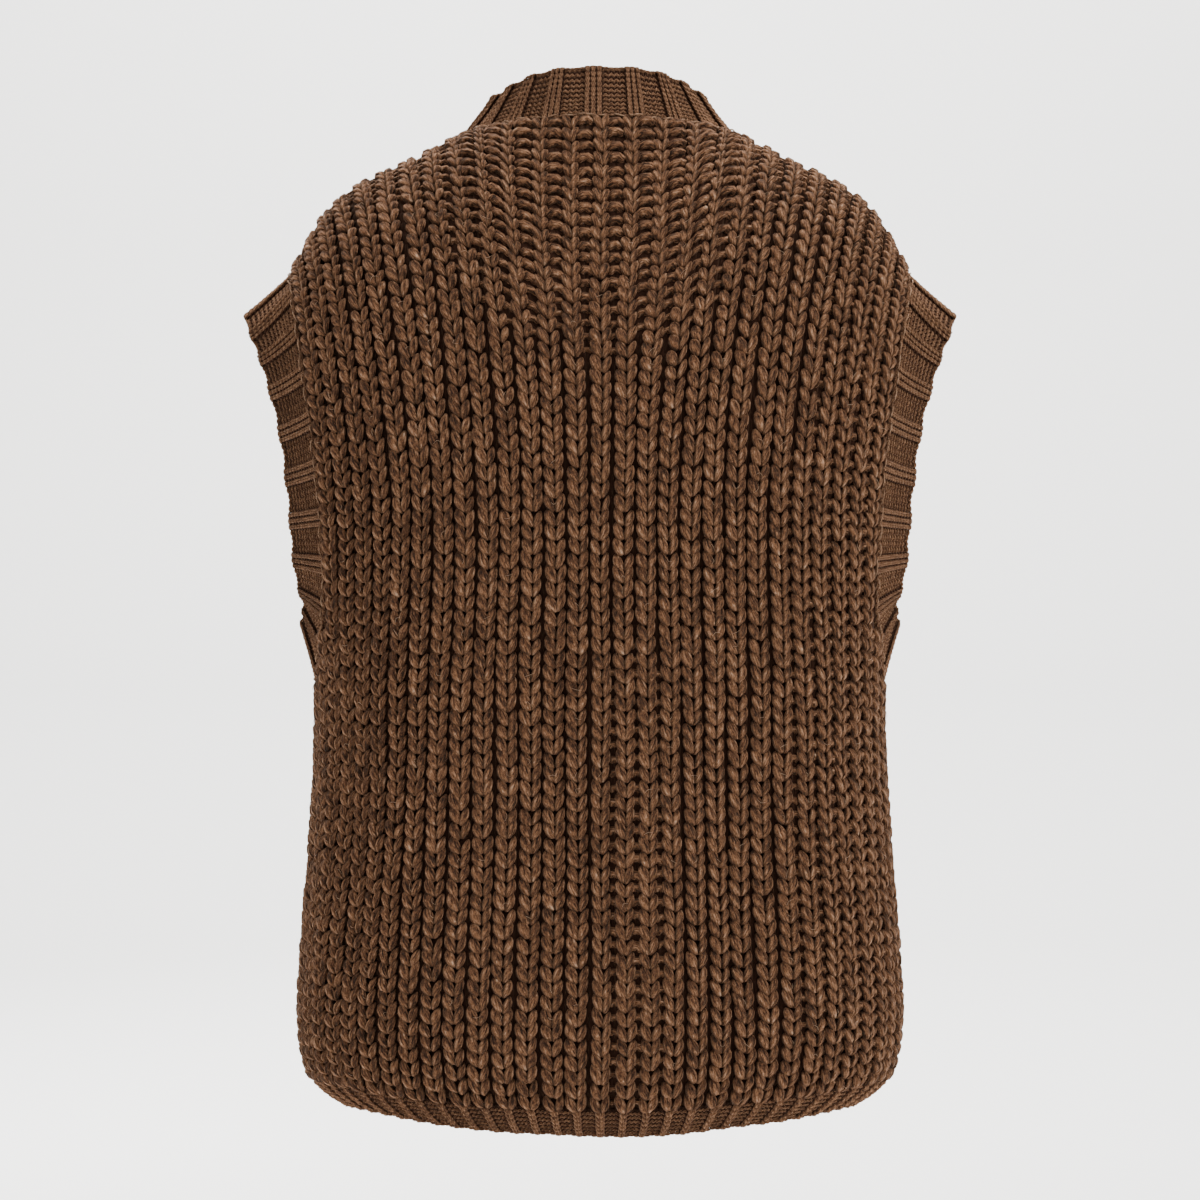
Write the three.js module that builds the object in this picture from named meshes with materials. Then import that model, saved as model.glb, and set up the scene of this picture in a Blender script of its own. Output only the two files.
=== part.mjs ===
// A chunky half-cardigan sweater vest, worn and hollow: back, front, crew neckband, two armhole bands
// and two hem ribs. Millimetres, +Z up, the back faces +Y. The origin is midway between the neck points.
import * as THREE from "three";

// Driving sizes of the garment
const NECK_POINT_HEIGHT = 262; // above the middle of the garment, where the section table has its zero
const HEM_EDGE = -287;
const HEM_SEAM = -272;
const UNDERARM = -50;
const ARMHOLE_STRAIGHT = 15; // the armhole runs up one wale from here
const YOKE_START = 40; // below this height the garment is a plain ring
const PATH_LENGTH = 548; // hem seam to back neck seam, over the surface
const SEAM_GAP = 0.3;
const BAND_GAP = 0.55; // a band's straight columns cut the corners of its curved seam a little

// Knitting
const SIDE_WALE = 17.5; // wale number of a side seam, counted from the middle of a panel
const ARMHOLE_WALE = 13.5;
const NECK_WALE = 4.5;
const WALL = 4.8; // chunky cloth, through a rib
const RIB_RISE = 2; // how far a wale stands above the gap beside it
const RIB_CREST = 0.24; // half the flat top of a wale, in wales
const HEM_WALL = 3.6;
const HEM_RISE = 1.3;
const HEM_CREST = 0.15;
const HEM_SINK = 0.6; // its ridges lie this far below the wales' crests
const ARC = 1.03; // a wale's curve over the yoke is this much longer than its chord
const EVEN_ROWS = { back: 0.45, front: 0.2 }; // how far each wale of a yoke has the same number of rows

// Neck opening at its seam, and the bands
const NECK_HALF_WIDTH = 77;
const NECK_TURN = (70 * Math.PI) / 180; // how far each half of the neck curve turns from its middle
const NECK_BACK = { depth: 57, rise: 3, power: 1, lean: 0.33 };
const NECK_FRONT = { depth: 80, rise: -72, power: 1.3, lean: 0.6 };
const NECK_SIDE_LEAN = 0.8;
const NECKBAND = { width: 30, wall: 3.4, rise: 1.3, ribs: 20 };
const ARMBAND = { width: 36, wall: 3.4, rise: 1.3, ribs: 22 };
const ARMHOLE_HALF_DEPTH = 62;
const BAND_BEND = 0.35; // share of a band's width over which it leaves the panel's own slope
const BAND_SLOPE = 0.25; // how much of that slope it keeps there
const BAND_COLUMNS = [0, 0.1, 0.4, 0.5]; // one rib and the purl ground after it, as shares of a repeat
const BAND_ROWS = [0, 0.3, 0.65, 1];

// Torso rings: half the width, the depth behind and in front of the side seams, and the wales from the
// middle of a panel to the ring's side, which are more above the underarm, where the armhole cuts the ring
const SECTIONS = [
  { z: -292, half: 139, back: 89, front: 92, wales: 17.5 },
  { z: -287, half: 144.5, back: 94, front: 97, wales: 17.5 },
  { z: -278, half: 155, back: 99.5, front: 103, wales: 17.5 },
  { z: -269, half: 162.8, back: 104, front: 108, wales: 17.5 },
  { z: -258, half: 166.6, back: 107.5, front: 112, wales: 17.5 },
  { z: -235, half: 169.4, back: 109, front: 114, wales: 17.5 },
  { z: -202, half: 168.3, back: 108, front: 114, wales: 17.5 },
  { z: -134, half: 163, back: 106, front: 114, wales: 17.5 },
  { z: -90, half: 160.5, back: 106, front: 115, wales: 17.5 },
  { z: -50, half: 160, back: 106.5, front: 117, wales: 17.5 },
  { z: -20, half: 163, back: 107.5, front: 118, wales: 18 },
  { z: 15, half: 170, back: 109, front: 118, wales: 18.9 },
  { z: 45, half: 175, back: 110, front: 118, wales: 19.4 },
  { z: 90, half: 178, back: 110, front: 116, wales: 19.6 },
];
const RING_POWER = 2.5; // 2 is an ellipse, more is squarer
const RING_STEPS = 64;

// Shoulder seam from the neck point to the tip, at the side of the neck and over the top of the arm
const SHOULDER = [
  { share: 0, x: 77, z: 262 },
  { share: 0.26, x: 106.5, z: 247 },
  { share: 0.47, x: 131.5, z: 235.5 },
  { share: 0.64, x: 149, z: 223 },
  { share: 0.83, x: 163, z: 204 },
  { share: 1, x: 174, z: 184 },
];

// How far an armhole band stands out for each millimetre it turns in, from the underarm to the shoulder
const ARM_LEAN = [
  { height: 0, out: 0.28 },
  { height: 0.12, out: 0.38 },
  { height: 0.27, out: 0.62 },
  { height: 0.45, out: 0.67 },
  { height: 0.62, out: 0.71 },
  { height: 0.8, out: 0.92 },
  { height: 1, out: 1.18 },
];

// The hem hangs lowest at the middle of each panel, and its rib draws it up most near the corners.
// The first and last rows mirror the line about the middle and the side seam.
const HEM_LINE = [
  { wale: -4, lift: -1.6 },
  { wale: 0, lift: -3 },
  { wale: 4, lift: -1.6 },
  { wale: 6, lift: 0 },
  { wale: 9, lift: 2.9 },
  { wale: 11.5, lift: 5 },
  { wale: 13.5, lift: 5.6 },
  { wale: 15.5, lift: 4.6 },
  { wale: 17.5, lift: 3.6 },
  { wale: 19.5, lift: 4.6 },
];
const HEM_LIFT_TOP = 0.2; // the level where the lift has faded out

// Soft upright folds: the wale and the share of the height where each is highest, its reach and its height
const FOLDS = [
  { panel: "back", wale: -2.6, level: 0.12, wales: 2.2, levels: 0.3, height: 5 },
  { panel: "back", wale: -6.4, level: 0.15, wales: 1.6, levels: 0.34, height: -4 },
  { panel: "back", wale: 2.4, level: 0.2, wales: 1.7, levels: 0.36, height: -4.5 },
  { panel: "back", wale: -9.6, level: 0.2, wales: 1.5, levels: 0.26, height: 3 },
  { panel: "back", wale: 7.4, level: 0.16, wales: 2.4, levels: 0.26, height: 3.5 },
  { panel: "back", wale: 11.5, level: 0.3, wales: 1.5, levels: 0.25, height: -2.5 },
  { panel: "back", wale: -4.5, level: 0.55, wales: 2, levels: 0.2, height: -2.5 },
  { panel: "front", wale: 3.1, level: 0.14, wales: 2, levels: 0.32, height: 4.5 },
  { panel: "front", wale: -1.2, level: 0.18, wales: 1.7, levels: 0.3, height: -4 },
  { panel: "front", wale: -5.5, level: 0.12, wales: 2.1, levels: 0.25, height: 3.5 },
  { panel: "front", wale: 8.2, level: 0.22, wales: 1.6, levels: 0.3, height: -3.5 },
  { panel: "front", wale: -10.6, level: 0.25, wales: 1.6, levels: 0.28, height: -2.5 },
  { panel: "front", wale: 12, level: 0.15, wales: 1.7, levels: 0.22, height: 2.5 },
];
const FOLD_START = 0.13; // the folds have their full height from this level up

// Mesh rows, as shares of the height below and above the foot of the straight armhole
const LOWER_ROWS = [0, 0.045, 0.11, 0.24, 0.4, 0.56, 0.71, 0.86, 1];
const UPPER_ROWS = [0, 0.14, 0.28, 0.42, 0.55, 0.67, 0.79, 0.9, 1];

const YARN = { color: 0x6f4e37, roughness: 0.95, metalness: 0 };

const level = (z) => (z - HEM_SEAM) / PATH_LENGTH;
const LEVEL_UNDERARM = level(UNDERARM);
const LEVEL_STRAIGHT = level(ARMHOLE_STRAIGHT);
const LEVEL_YOKE = level(YOKE_START);
const HEM_LEVEL = level(HEM_EDGE);
const STEP = 1e-3;

// A table's column at a place between its rows, on a smooth curve through them
function columnAt(table, key, column, at) {
  let i = table.findIndex((row) => row[key] > at) - 1;
  if (i === -2) i = table.length - 2;
  if (i < 0) i = 0;
  const [a, b] = [table[i], table[i + 1]];
  const slope = (p, q) => (q[column] - p[column]) / (q[key] - p[key]);
  const here = slope(a, b);
  const before = i > 0 ? (slope(table[i - 1], a) + here) / 2 : here;
  const after = i + 2 < table.length ? (slope(b, table[i + 2]) + here) / 2 : here;
  const span = b[key] - a[key];
  const t = (at - a[key]) / span;
  const [t2, t3] = [t * t, t * t * t];
  return (
    (2 * t3 - 3 * t2 + 1) * a[column] + (t3 - 2 * t2 + t) * span * before +
    (3 * t2 - 2 * t3) * b[column] + (t3 - t2) * span * after
  );
}

// A ring's outline from the middle of a panel to the side seam, with the length run up to each step
const rings = new Map();
function ringAt(z, panel) {
  const key = panel + z;
  if (!rings.has(key)) {
    const half = columnAt(SECTIONS, "z", "half", z);
    const depth = columnAt(SECTIONS, "z", panel, z);
    const spot = (angle) => [
      half * Math.sin(angle) ** (2 / RING_POWER),
      depth * Math.max(Math.cos(angle), 0) ** (2 / RING_POWER),
    ];
    const run = [0];
    let last = spot(0);
    for (let k = 1; k <= RING_STEPS; k++) {
      const next = spot((k / RING_STEPS) * (Math.PI / 2));
      run.push(run[k - 1] + Math.hypot(next[0] - last[0], next[1] - last[1]));
      last = next;
    }
    rings.set(key, { spot, run, wales: columnAt(SECTIONS, "z", "wales", z) });
  }
  return rings.get(key);
}

function ringPoint(wale, z, panel) {
  const { spot, run, wales } = ringAt(z, panel);
  const want = Math.min(Math.abs(wale) / wales, 1) * run[RING_STEPS];
  let k = run.findIndex((length) => length >= want);
  k = Math.max(k, 1);
  const share = (want - run[k - 1]) / (run[k] - run[k - 1]);
  const [x, y] = spot(((k - 1 + share) / RING_STEPS) * (Math.PI / 2));
  const facing = panel === "back" ? 1 : -1;
  const left = Math.min(Math.max(1 - level(z) / HEM_LIFT_TOP, 0), 1);
  const lift = columnAt(HEM_LINE, "wale", "lift", Math.abs(wale)) * left ** 2;
  return new THREE.Vector3(Math.sign(wale) * x, facing * (y + SEAM_GAP / 2), z + lift);
}

// Where a wale ends at the top, and the way it runs there: over the shoulder, or up into the neckband
function waleEnd(wale, panel) {
  const facing = panel === "back" ? 1 : -1;
  const hand = Math.sign(wale) || 1;
  const size = Math.abs(wale);
  if (size > NECK_WALE) {
    const share = (size - NECK_WALE) / (ARMHOLE_WALE - NECK_WALE);
    const x = columnAt(SHOULDER, "share", "x", share);
    const z = columnAt(SHOULDER, "share", "z", share);
    return {
      point: new THREE.Vector3(hand * x, (facing * SEAM_GAP) / 2, z),
      way: new THREE.Vector3(0, -facing, 0),
    };
  }
  const neck = panel === "back" ? NECK_BACK : NECK_FRONT;
  const angle = Math.asin((size / NECK_WALE) * Math.sin(NECK_TURN));
  const inward = Math.max(Math.cos(angle) - Math.cos(NECK_TURN), 0) / (1 - Math.cos(NECK_TURN));
  const point = new THREE.Vector3(
    (hand * NECK_HALF_WIDTH * size) / NECK_WALE,
    facing * (neck.depth * inward + SEAM_GAP / 2),
    NECK_POINT_HEIGHT + neck.rise * inward ** neck.power,
  );
  const turn = inward ** 1.5;
  const way = new THREE.Vector3(0, -facing * (1 - 0.6 * turn), 0.92 * turn).normalize();
  return { point, way };
}

// The same, evened out over the wales beside it, so that the corner at the neck point stays near the seam
const SMOOTH_WALES = 2.4;
const SMOOTH_STEPS = 4;
const SEAM_REACH = 7; // the higher, the closer to the seam its own corner stays
function smoothEnd(wale, panel) {
  const reach = Math.min(SMOOTH_WALES, ARMHOLE_WALE - Math.abs(wale));
  const point = new THREE.Vector3();
  const way = new THREE.Vector3();
  let weight = 0;
  for (let k = -SMOOTH_STEPS; k <= SMOOTH_STEPS; k++) {
    const share = 1 - Math.abs(k) / (SMOOTH_STEPS + 1);
    const beside = waleEnd(wale + (reach * k) / SMOOTH_STEPS, panel);
    point.addScaledVector(beside.point, share);
    way.addScaledVector(beside.way, share);
    weight += share;
  }
  return { point: point.divideScalar(weight), way: way.normalize() };
}

// How many rows a wale has: half from its own length over the yoke, half from an even count
const endLevels = new Map();
function endLevel(wale, panel) {
  const key = panel + Math.abs(wale);
  if (!endLevels.has(key)) {
    const start = ringPoint(Math.abs(wale), YOKE_START, panel);
    const reach = start.distanceTo(waleEnd(Math.abs(wale), panel).point) * ARC;
    const middle = ringPoint(0, YOKE_START, "back");
    const whole = middle.distanceTo(waleEnd(0, "back").point) * ARC;
    const even = EVEN_ROWS[panel];
    endLevels.set(key, LEVEL_YOKE + (reach * (1 - even) + whole * even) / PATH_LENGTH);
  }
  return endLevels.get(key);
}

// The crest surface of a panel, at a wale and a level: level 0 is the hem seam
function surface(wale, at, panel) {
  if (at <= LEVEL_YOKE) return ringPoint(wale, HEM_SEAM + at * PATH_LENGTH, panel);
  const start = ringPoint(wale, YOKE_START, panel);
  const under = ringPoint(wale, YOKE_START - STEP * PATH_LENGTH, panel);
  const { point: end, way } = smoothEnd(wale, panel);
  const seam = waleEnd(wale, panel);
  const levels = endLevel(wale, panel) - LEVEL_YOKE;
  const u = (at - LEVEL_YOKE) / levels;
  const reach = start.distanceTo(end) * ARC;
  const leaving = start.clone().sub(under).multiplyScalar(levels / STEP).setLength(reach);
  const near = Math.max(u, 0) ** SEAM_REACH * (1 + SEAM_REACH * (1 - u));
  const arriving = way.clone().lerp(seam.way, near).multiplyScalar(reach);
  const [u2, u3] = [u * u, u * u * u];
  return new THREE.Vector3()
    .addScaledVector(start, 2 * u3 - 3 * u2 + 1)
    .addScaledVector(leaving, u3 - 2 * u2 + u)
    .addScaledVector(end, 3 * u2 - 2 * u3)
    .addScaledVector(arriving, u3 - u2)
    .addScaledVector(seam.point.sub(end), near);
}

// The way the cloth faces, out of the garment
function facingOut(wale, at, panel) {
  const stretch = 0.02;
  const across = surface(Math.min(wale + stretch, SIDE_WALE), at, panel).sub(
    surface(Math.max(wale - stretch, -SIDE_WALE), at, panel),
  );
  const top = Math.abs(wale) <= ARMHOLE_WALE ? endLevel(wale, panel) : LEVEL_YOKE;
  const up = surface(wale, Math.min(at + STEP, top), panel).sub(surface(wale, at - STEP, panel));
  const out = across.cross(up).normalize();
  return panel === "back" ? out.negate() : out;
}

// Height of the soft folds, fading out towards the side seams and held in by the hem rib
function foldHeight(wale, at, panel) {
  const free = Math.min(Math.max(at / FOLD_START, 0), 1);
  const fade = (1 - (Math.abs(wale) / SIDE_WALE) ** 6) * (0.2 + 0.8 * free * free * (3 - 2 * free));
  let height = 0;
  for (const fold of FOLDS) {
    if (fold.panel !== panel) continue;
    const across = (wale - fold.wale) / fold.wales;
    const along = (at - fold.level) / fold.levels;
    height += fold.height * Math.exp(-across * across - along * along);
  }
  return height * fade;
}

function clothPoint(wale, at, panel, offset) {
  const out = facingOut(wale, at, panel);
  return surface(wale, at, panel).addScaledVector(out, foldHeight(wale, at, panel) + offset);
}

// The level where a wale ends below the straight armhole: on the curve under the arm, or at its foot
function lowerTop(wale) {
  const size = Math.abs(wale);
  if (size <= ARMHOLE_WALE) return LEVEL_STRAIGHT;
  const across = (SIDE_WALE - size) / (SIDE_WALE - ARMHOLE_WALE);
  return LEVEL_STRAIGHT - (LEVEL_STRAIGHT - LEVEL_UNDERARM) * Math.sqrt(1 - across * across);
}

function panelLevel(wale, row, panel) {
  if (row < LOWER_ROWS.length) return LOWER_ROWS[row] * lowerTop(wale);
  const share = UPPER_ROWS[row - LOWER_ROWS.length + 1];
  return LEVEL_STRAIGHT + (endLevel(wale, panel) - LEVEL_STRAIGHT) * share;
}

// Mesh columns of a ribbed panel: a gap, then two crest columns for each wale
function waleColumns(crest) {
  const columns = [];
  for (let wale = -SIDE_WALE + 0.5; wale < SIDE_WALE; wale++) {
    columns.push({ at: wale - 0.5, crest: false });
    columns.push({ at: wale - crest, crest: true });
    columns.push({ at: wale + crest, crest: true });
  }
  columns.push({ at: SIDE_WALE, crest: false });
  return columns;
}

// The gaps between wales, where a panel's edge has a point on both its sides
const gapWales = () => waleColumns(RIB_CREST).filter((column) => !column.crest).map((column) => column.at);

// A closed wall between a ribbed grid and a plain one with fewer columns, as one mesh.
// rowsOf gives a column's top row, and outer and inner give the points of a column and a row.
function wall(name, columns, rowsOf, outer, inner, loops) {
  const points = [];
  const keep = (point) => points.push(point) - 1;
  const count = columns.length;
  const fine = columns.map((column) => {
    const ids = [];
    for (let row = 0; row <= rowsOf(column); row++) ids.push(keep(outer(column, row)));
    return ids;
  });
  const plain = columns.map((column) => {
    const ids = [];
    if (column.crest) return ids;
    for (let row = 0; row <= rowsOf(column); row++) ids.push(keep(inner(column, row)));
    return ids;
  });
  const coarse = columns.map((_, j) => j).filter((j) => !columns[j].crest);
  const faces = [];
  const grid = (a, b, flip) => {
    for (let row = 0; row + 1 < Math.min(a.length, b.length); row++) {
      const quad = [a[row], b[row], b[row + 1], a[row + 1]];
      if (flip) quad.reverse();
      faces.push(quad[0], quad[1], quad[2], quad[0], quad[2], quad[3]);
    }
  };
  const last = loops ? count : count - 1;
  for (let j = 0; j < last; j++) grid(fine[j], fine[(j + 1) % count], false);
  const stretches = loops ? coarse.length : coarse.length - 1;
  for (let m = 0; m < stretches; m++) {
    grid(plain[coarse[m]], plain[coarse[(m + 1) % coarse.length]], true);
  }
  // The rim between a run of ribbed points and the two plain points at its ends
  const rim = (run, from, to) => {
    const turn = Math.floor(run.length / 2);
    for (let k = 0; k + 1 < run.length; k++) {
      faces.push(run[k + 1], run[k], k < turn ? from : to);
      if (k === turn - 1) faces.push(run[k + 1], from, to);
    }
  };
  const along = (m, rowOf) => {
    const [a, b] = [coarse[m], m + 1 < coarse.length ? coarse[m + 1] : count];
    const run = [];
    for (let j = a; j <= b; j++) run.push(fine[j % count][rowOf(j % count)]);
    return [run, plain[a][rowOf(a)], plain[b % count][rowOf(b % count)]];
  };
  for (let m = 0; m < stretches; m++) {
    const [low, lowFrom, lowTo] = along(m, () => 0);
    rim(low, lowFrom, lowTo);
    const ends = (j) => Math.min(rowsOf(columns[j]), topOf(m));
    const [high, highFrom, highTo] = along(m, ends);
    rim(high.reverse(), highTo, highFrom);
  }
  function topOf(m) {
    const [a, b] = [coarse[m], coarse[(m + 1) % coarse.length]];
    return Math.min(rowsOf(columns[a]), rowsOf(columns[b]));
  }
  // Free upright edges: the two ends, and where a column stands above its neighbour
  const upright = (j, from, to, upwards) => {
    for (let row = from; row < to; row++) {
      const [a, b] = upwards ? [row, row + 1] : [row + 1, row];
      rim([fine[j][a], fine[j][b]], plain[j][a], plain[j][b]);
    }
  };
  if (!loops) {
    upright(0, 0, rowsOf(columns[0]), false);
    upright(count - 1, 0, rowsOf(columns[count - 1]), true);
    for (const j of coarse) {
      const own = rowsOf(columns[j]);
      if (j > 0 && rowsOf(columns[j - 1]) < own) upright(j, rowsOf(columns[j - 1]), own, false);
      if (j < count - 1 && rowsOf(columns[j + 1]) < own) upright(j, rowsOf(columns[j + 1]), own, true);
    }
  }
  return closedMesh(name, points, faces);
}

// The mesh of a closed surface, with its faces turned out
function closedMesh(name, points, faces) {
  let volume = 0;
  for (let i = 0; i < faces.length; i += 3) {
    const [a, b, c] = [points[faces[i]], points[faces[i + 1]], points[faces[i + 2]]];
    volume += a.dot(b.clone().cross(c));
  }
  if (volume < 0) faces.reverse();
  const geometry = new THREE.BufferGeometry().setFromPoints(points);
  geometry.setIndex(faces);
  geometry.translate(0, 0, -NECK_POINT_HEIGHT);
  geometry.computeVertexNormals();
  const mesh = new THREE.Mesh(geometry, new THREE.MeshStandardMaterial(YARN));
  mesh.name = name;
  return mesh;
}

// Front and back, each knitted as one piece with a rib for every wale
function makePanel(panel) {
  const topRow = LOWER_ROWS.length + UPPER_ROWS.length - 2;
  const rowsOf = (column) => (Math.abs(column.at) <= ARMHOLE_WALE ? topRow : LOWER_ROWS.length - 1);
  const outer = (column, row) =>
    clothPoint(column.at, panelLevel(column.at, row, panel), panel, column.crest ? 0 : -RIB_RISE);
  const inner = (column, row) => clothPoint(column.at, panelLevel(column.at, row, panel), panel, -WALL);
  return wall(panel, waleColumns(RIB_CREST), rowsOf, outer, inner, false);
}

// The finer rib that draws the hem in
function makeHemRib(panel) {
  const top = -SEAM_GAP / PATH_LENGTH;
  const rows = [HEM_LEVEL, (HEM_LEVEL + top) / 2, top];
  const outer = (column, row) =>
    clothPoint(column.at, rows[row], panel, -HEM_SINK - (column.crest ? 0 : HEM_RISE));
  const inner = (column, row) => clothPoint(column.at, rows[row], panel, -HEM_SINK - HEM_WALL);
  return wall("hem_rib_" + panel, waleColumns(HEM_CREST), () => rows.length - 1, outer, inner, false);
}

// A band's seam line: points on the panels' edge, halfway through the cloth, with the way the cloth faces
function seamSpot(wale, at, panel) {
  return {
    point: clothPoint(wale, at, panel, -(RIB_RISE + WALL) / 2),
    out: facingOut(wale, at, panel),
  };
}

function armholeSeam(hand) {
  const side = (panel) => {
    const spots = [];
    const top = endLevel(ARMHOLE_WALE, panel);
    for (let row = UPPER_ROWS.length - 1; row >= 0; row--) {
      const at = LEVEL_STRAIGHT + (top - LEVEL_STRAIGHT) * UPPER_ROWS[row];
      spots.push(seamSpot(hand * ARMHOLE_WALE, at, panel));
    }
    for (const wale of gapWales().filter((place) => place > ARMHOLE_WALE)) {
      spots.push(seamSpot(hand * wale, lowerTop(wale), panel));
    }
    return spots;
  };
  return [...side("back"), ...side("front").reverse()];
}

function neckSeam() {
  const side = (panel) => {
    const spots = [];
    for (const wale of gapWales().filter((place) => Math.abs(place) <= NECK_WALE)) {
      spots.push(seamSpot(wale, endLevel(wale, panel), panel));
    }
    return spots;
  };
  return [...side("back"), ...side("front").reverse()];
}

// A point a share of the way round a closed seam line, with its out and along directions
function seamAt(seam, share) {
  const lengths = seam.map((spot, i) => spot.point.distanceTo(seam[(i + 1) % seam.length].point));
  const whole = lengths.reduce((sum, length) => sum + length, 0);
  let left = (((share % 1) + 1) % 1) * whole;
  let i = 0;
  while (left > lengths[i]) left -= lengths[i++];
  const [a, b] = [seam[i], seam[(i + 1) % seam.length]];
  const t = left / lengths[i];
  return { point: a.point.clone().lerp(b.point, t), out: a.out.clone().lerp(b.out, t).normalize() };
}

// A ribbed band along a closed seam line. lean gives the way it stands at a place on the seam.
function makeBand(name, seam, band, lean, turn) {
  const columns = [];
  for (let rib = 0; rib < band.ribs; rib++) {
    BAND_COLUMNS.forEach((share, k) =>
      columns.push({ at: (rib + share) / band.ribs, crest: k === 1 || k === 2 }),
    );
  }
  const spot = (column, row, offset) => {
    const here = seamAt(seam, column.at);
    const near = 0.01;
    const along = seamAt(seam, column.at + near).point.sub(seamAt(seam, column.at - near).point);
    const off = along.clone().cross(here.out).normalize().multiplyScalar(turn);
    const way = lean(here.point);
    const face = way.clone().cross(along).normalize().multiplyScalar(turn);
    const share = BAND_ROWS[row];
    const start = here.point.clone().addScaledVector(off, BAND_GAP);
    const slope = way.clone().addScaledVector(off, BAND_SLOPE);
    const bend = start.clone().addScaledVector(slope.normalize(), band.width * BAND_BEND);
    const end = start.clone().addScaledVector(way, band.width);
    const middle = here.out.clone().lerp(face, Math.min(share * 2, 1)).normalize();
    return new THREE.Vector3()
      .addScaledVector(start, (1 - share) ** 2)
      .addScaledVector(bend, 2 * share * (1 - share))
      .addScaledVector(end, share ** 2)
      .addScaledVector(middle, offset);
  };
  const outer = (column, row) => spot(column, row, band.wall / 2 - (column.crest ? 0 : band.rise));
  const inner = (column, row) => spot(column, row, -band.wall / 2);
  return wall(name, columns, () => BAND_ROWS.length - 1, outer, inner, true);
}

// The neckband stands up, and leans in most beside the neck points
function neckLean(point) {
  const side = Math.min(Math.abs(point.x) / NECK_HALF_WIDTH, 1);
  const { depth, lean } = point.y > 0 ? NECK_BACK : NECK_FRONT;
  const inward = -Math.sign(point.x) * NECK_SIDE_LEAN * side ** 1.6;
  return new THREE.Vector3(inward, (-point.y / depth) * lean, 1).normalize();
}

// An armhole band turns in towards the middle of the armhole, and stands out most at the shoulder
function armLean(hand) {
  const tip = SHOULDER[SHOULDER.length - 1].z;
  const middle = (tip + UNDERARM) / 2;
  const halfHeight = (tip - UNDERARM) / 2;
  return (point) => {
    const up = (point.z - middle) / halfHeight;
    const height = Math.min(Math.max((up + 1) / 2, 0), 1);
    const across = -point.y / ARMHOLE_HALF_DEPTH;
    const inward = new THREE.Vector3(0, across, -Math.sign(up) * Math.abs(up) ** 3).normalize();
    const outward = columnAt(ARM_LEAN, "height", "out", height);
    return inward.add(new THREE.Vector3(hand * outward, 0, 0)).normalize();
  };
}

const vest = new THREE.Group();
for (const panel of ["back", "front"]) {
  vest.add(makePanel(panel));
  vest.add(makeHemRib(panel));
}
vest.add(makeBand("neckband", neckSeam(), NECKBAND, neckLean, 1));
vest.add(makeBand("armhole_band_left", armholeSeam(1), ARMBAND, armLean(1), 1));
vest.add(makeBand("armhole_band_right", armholeSeam(-1), ARMBAND, armLean(-1), -1));

export default vest;
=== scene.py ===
import math

import bpy
import numpy as np
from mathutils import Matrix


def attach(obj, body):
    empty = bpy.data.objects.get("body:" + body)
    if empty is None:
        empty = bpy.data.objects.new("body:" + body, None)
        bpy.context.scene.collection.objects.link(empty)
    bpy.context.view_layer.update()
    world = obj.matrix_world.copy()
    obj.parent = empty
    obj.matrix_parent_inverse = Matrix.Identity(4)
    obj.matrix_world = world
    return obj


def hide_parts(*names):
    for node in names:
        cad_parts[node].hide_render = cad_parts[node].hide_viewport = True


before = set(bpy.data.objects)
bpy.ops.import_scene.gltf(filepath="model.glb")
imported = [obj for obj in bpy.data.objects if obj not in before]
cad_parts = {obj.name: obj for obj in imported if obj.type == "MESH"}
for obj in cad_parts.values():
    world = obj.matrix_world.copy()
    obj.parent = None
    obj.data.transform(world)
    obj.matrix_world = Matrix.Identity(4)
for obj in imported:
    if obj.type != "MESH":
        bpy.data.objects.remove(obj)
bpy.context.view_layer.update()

rng = np.random.default_rng(27)

# The vest's crest surface, repeated from the part's own tables in millimetres. The tables' zero height is
# the middle of the garment, and NECK_POINT_HEIGHT above it is the part's origin.
NECK_POINT_HEIGHT = 262
HEM_EDGE = -287
HEM_SEAM = -272
UNDERARM = -50
ARMHOLE_STRAIGHT = 15
YOKE_START = 40
PATH_LENGTH = 548
SEAM_GAP = 0.3
BAND_GAP = 0.55
SIDE_WALE = 17.5
ARMHOLE_WALE = 13.5
NECK_WALE = 4.5
ARC = 1.03
EVEN_ROWS = {"back": 0.45, "front": 0.2}
NECK_HALF_WIDTH = 77
NECK_TURN = math.radians(70)
NECK_BACK = {"depth": 57, "rise": 3, "power": 1, "lean": 0.33}
NECK_FRONT = {"depth": 80, "rise": -72, "power": 1.3, "lean": 0.6}
NECK_SIDE_LEAN = 0.8
NECK_RUN = {"power": 1.5, "less_over": 0.6, "up": 0.92}  # how far the wales at the neck turn upright
ARMHOLE_HALF_DEPTH = 62
BAND_BEND = 0.35
BAND_SLOPE = 0.25
SEAM_DEPTH = -3.4

# Height, half the width, depth behind and in front of the side seams, and wales in a quarter of the ring
SECTIONS = np.array([
    (-292, 139, 89, 92, 17.5),
    (-287, 144.5, 94, 97, 17.5),
    (-278, 155, 99.5, 103, 17.5),
    (-269, 162.8, 104, 108, 17.5),
    (-258, 166.6, 107.5, 112, 17.5),
    (-235, 169.4, 109, 114, 17.5),
    (-202, 168.3, 108, 114, 17.5),
    (-134, 163, 106, 114, 17.5),
    (-90, 160.5, 106, 115, 17.5),
    (-50, 160, 106.5, 117, 17.5),
    (-20, 163, 107.5, 118, 18),
    (15, 170, 109, 118, 18.9),
    (45, 175, 110, 118, 19.4),
    (90, 178, 110, 116, 19.6),
])
HALF, DEPTH, QUARTER_WALES = 1, {"back": 2, "front": 3}, 4
RING_POWER = 2.5
RING_STEPS = 64

# Share of the shoulder seam, then its x and z
SHOULDER = np.array([
    (0, 77, 262), (0.26, 106.5, 247), (0.47, 131.5, 235.5), (0.64, 149, 223), (0.83, 163, 204),
    (1, 174, 184),
])
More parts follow.
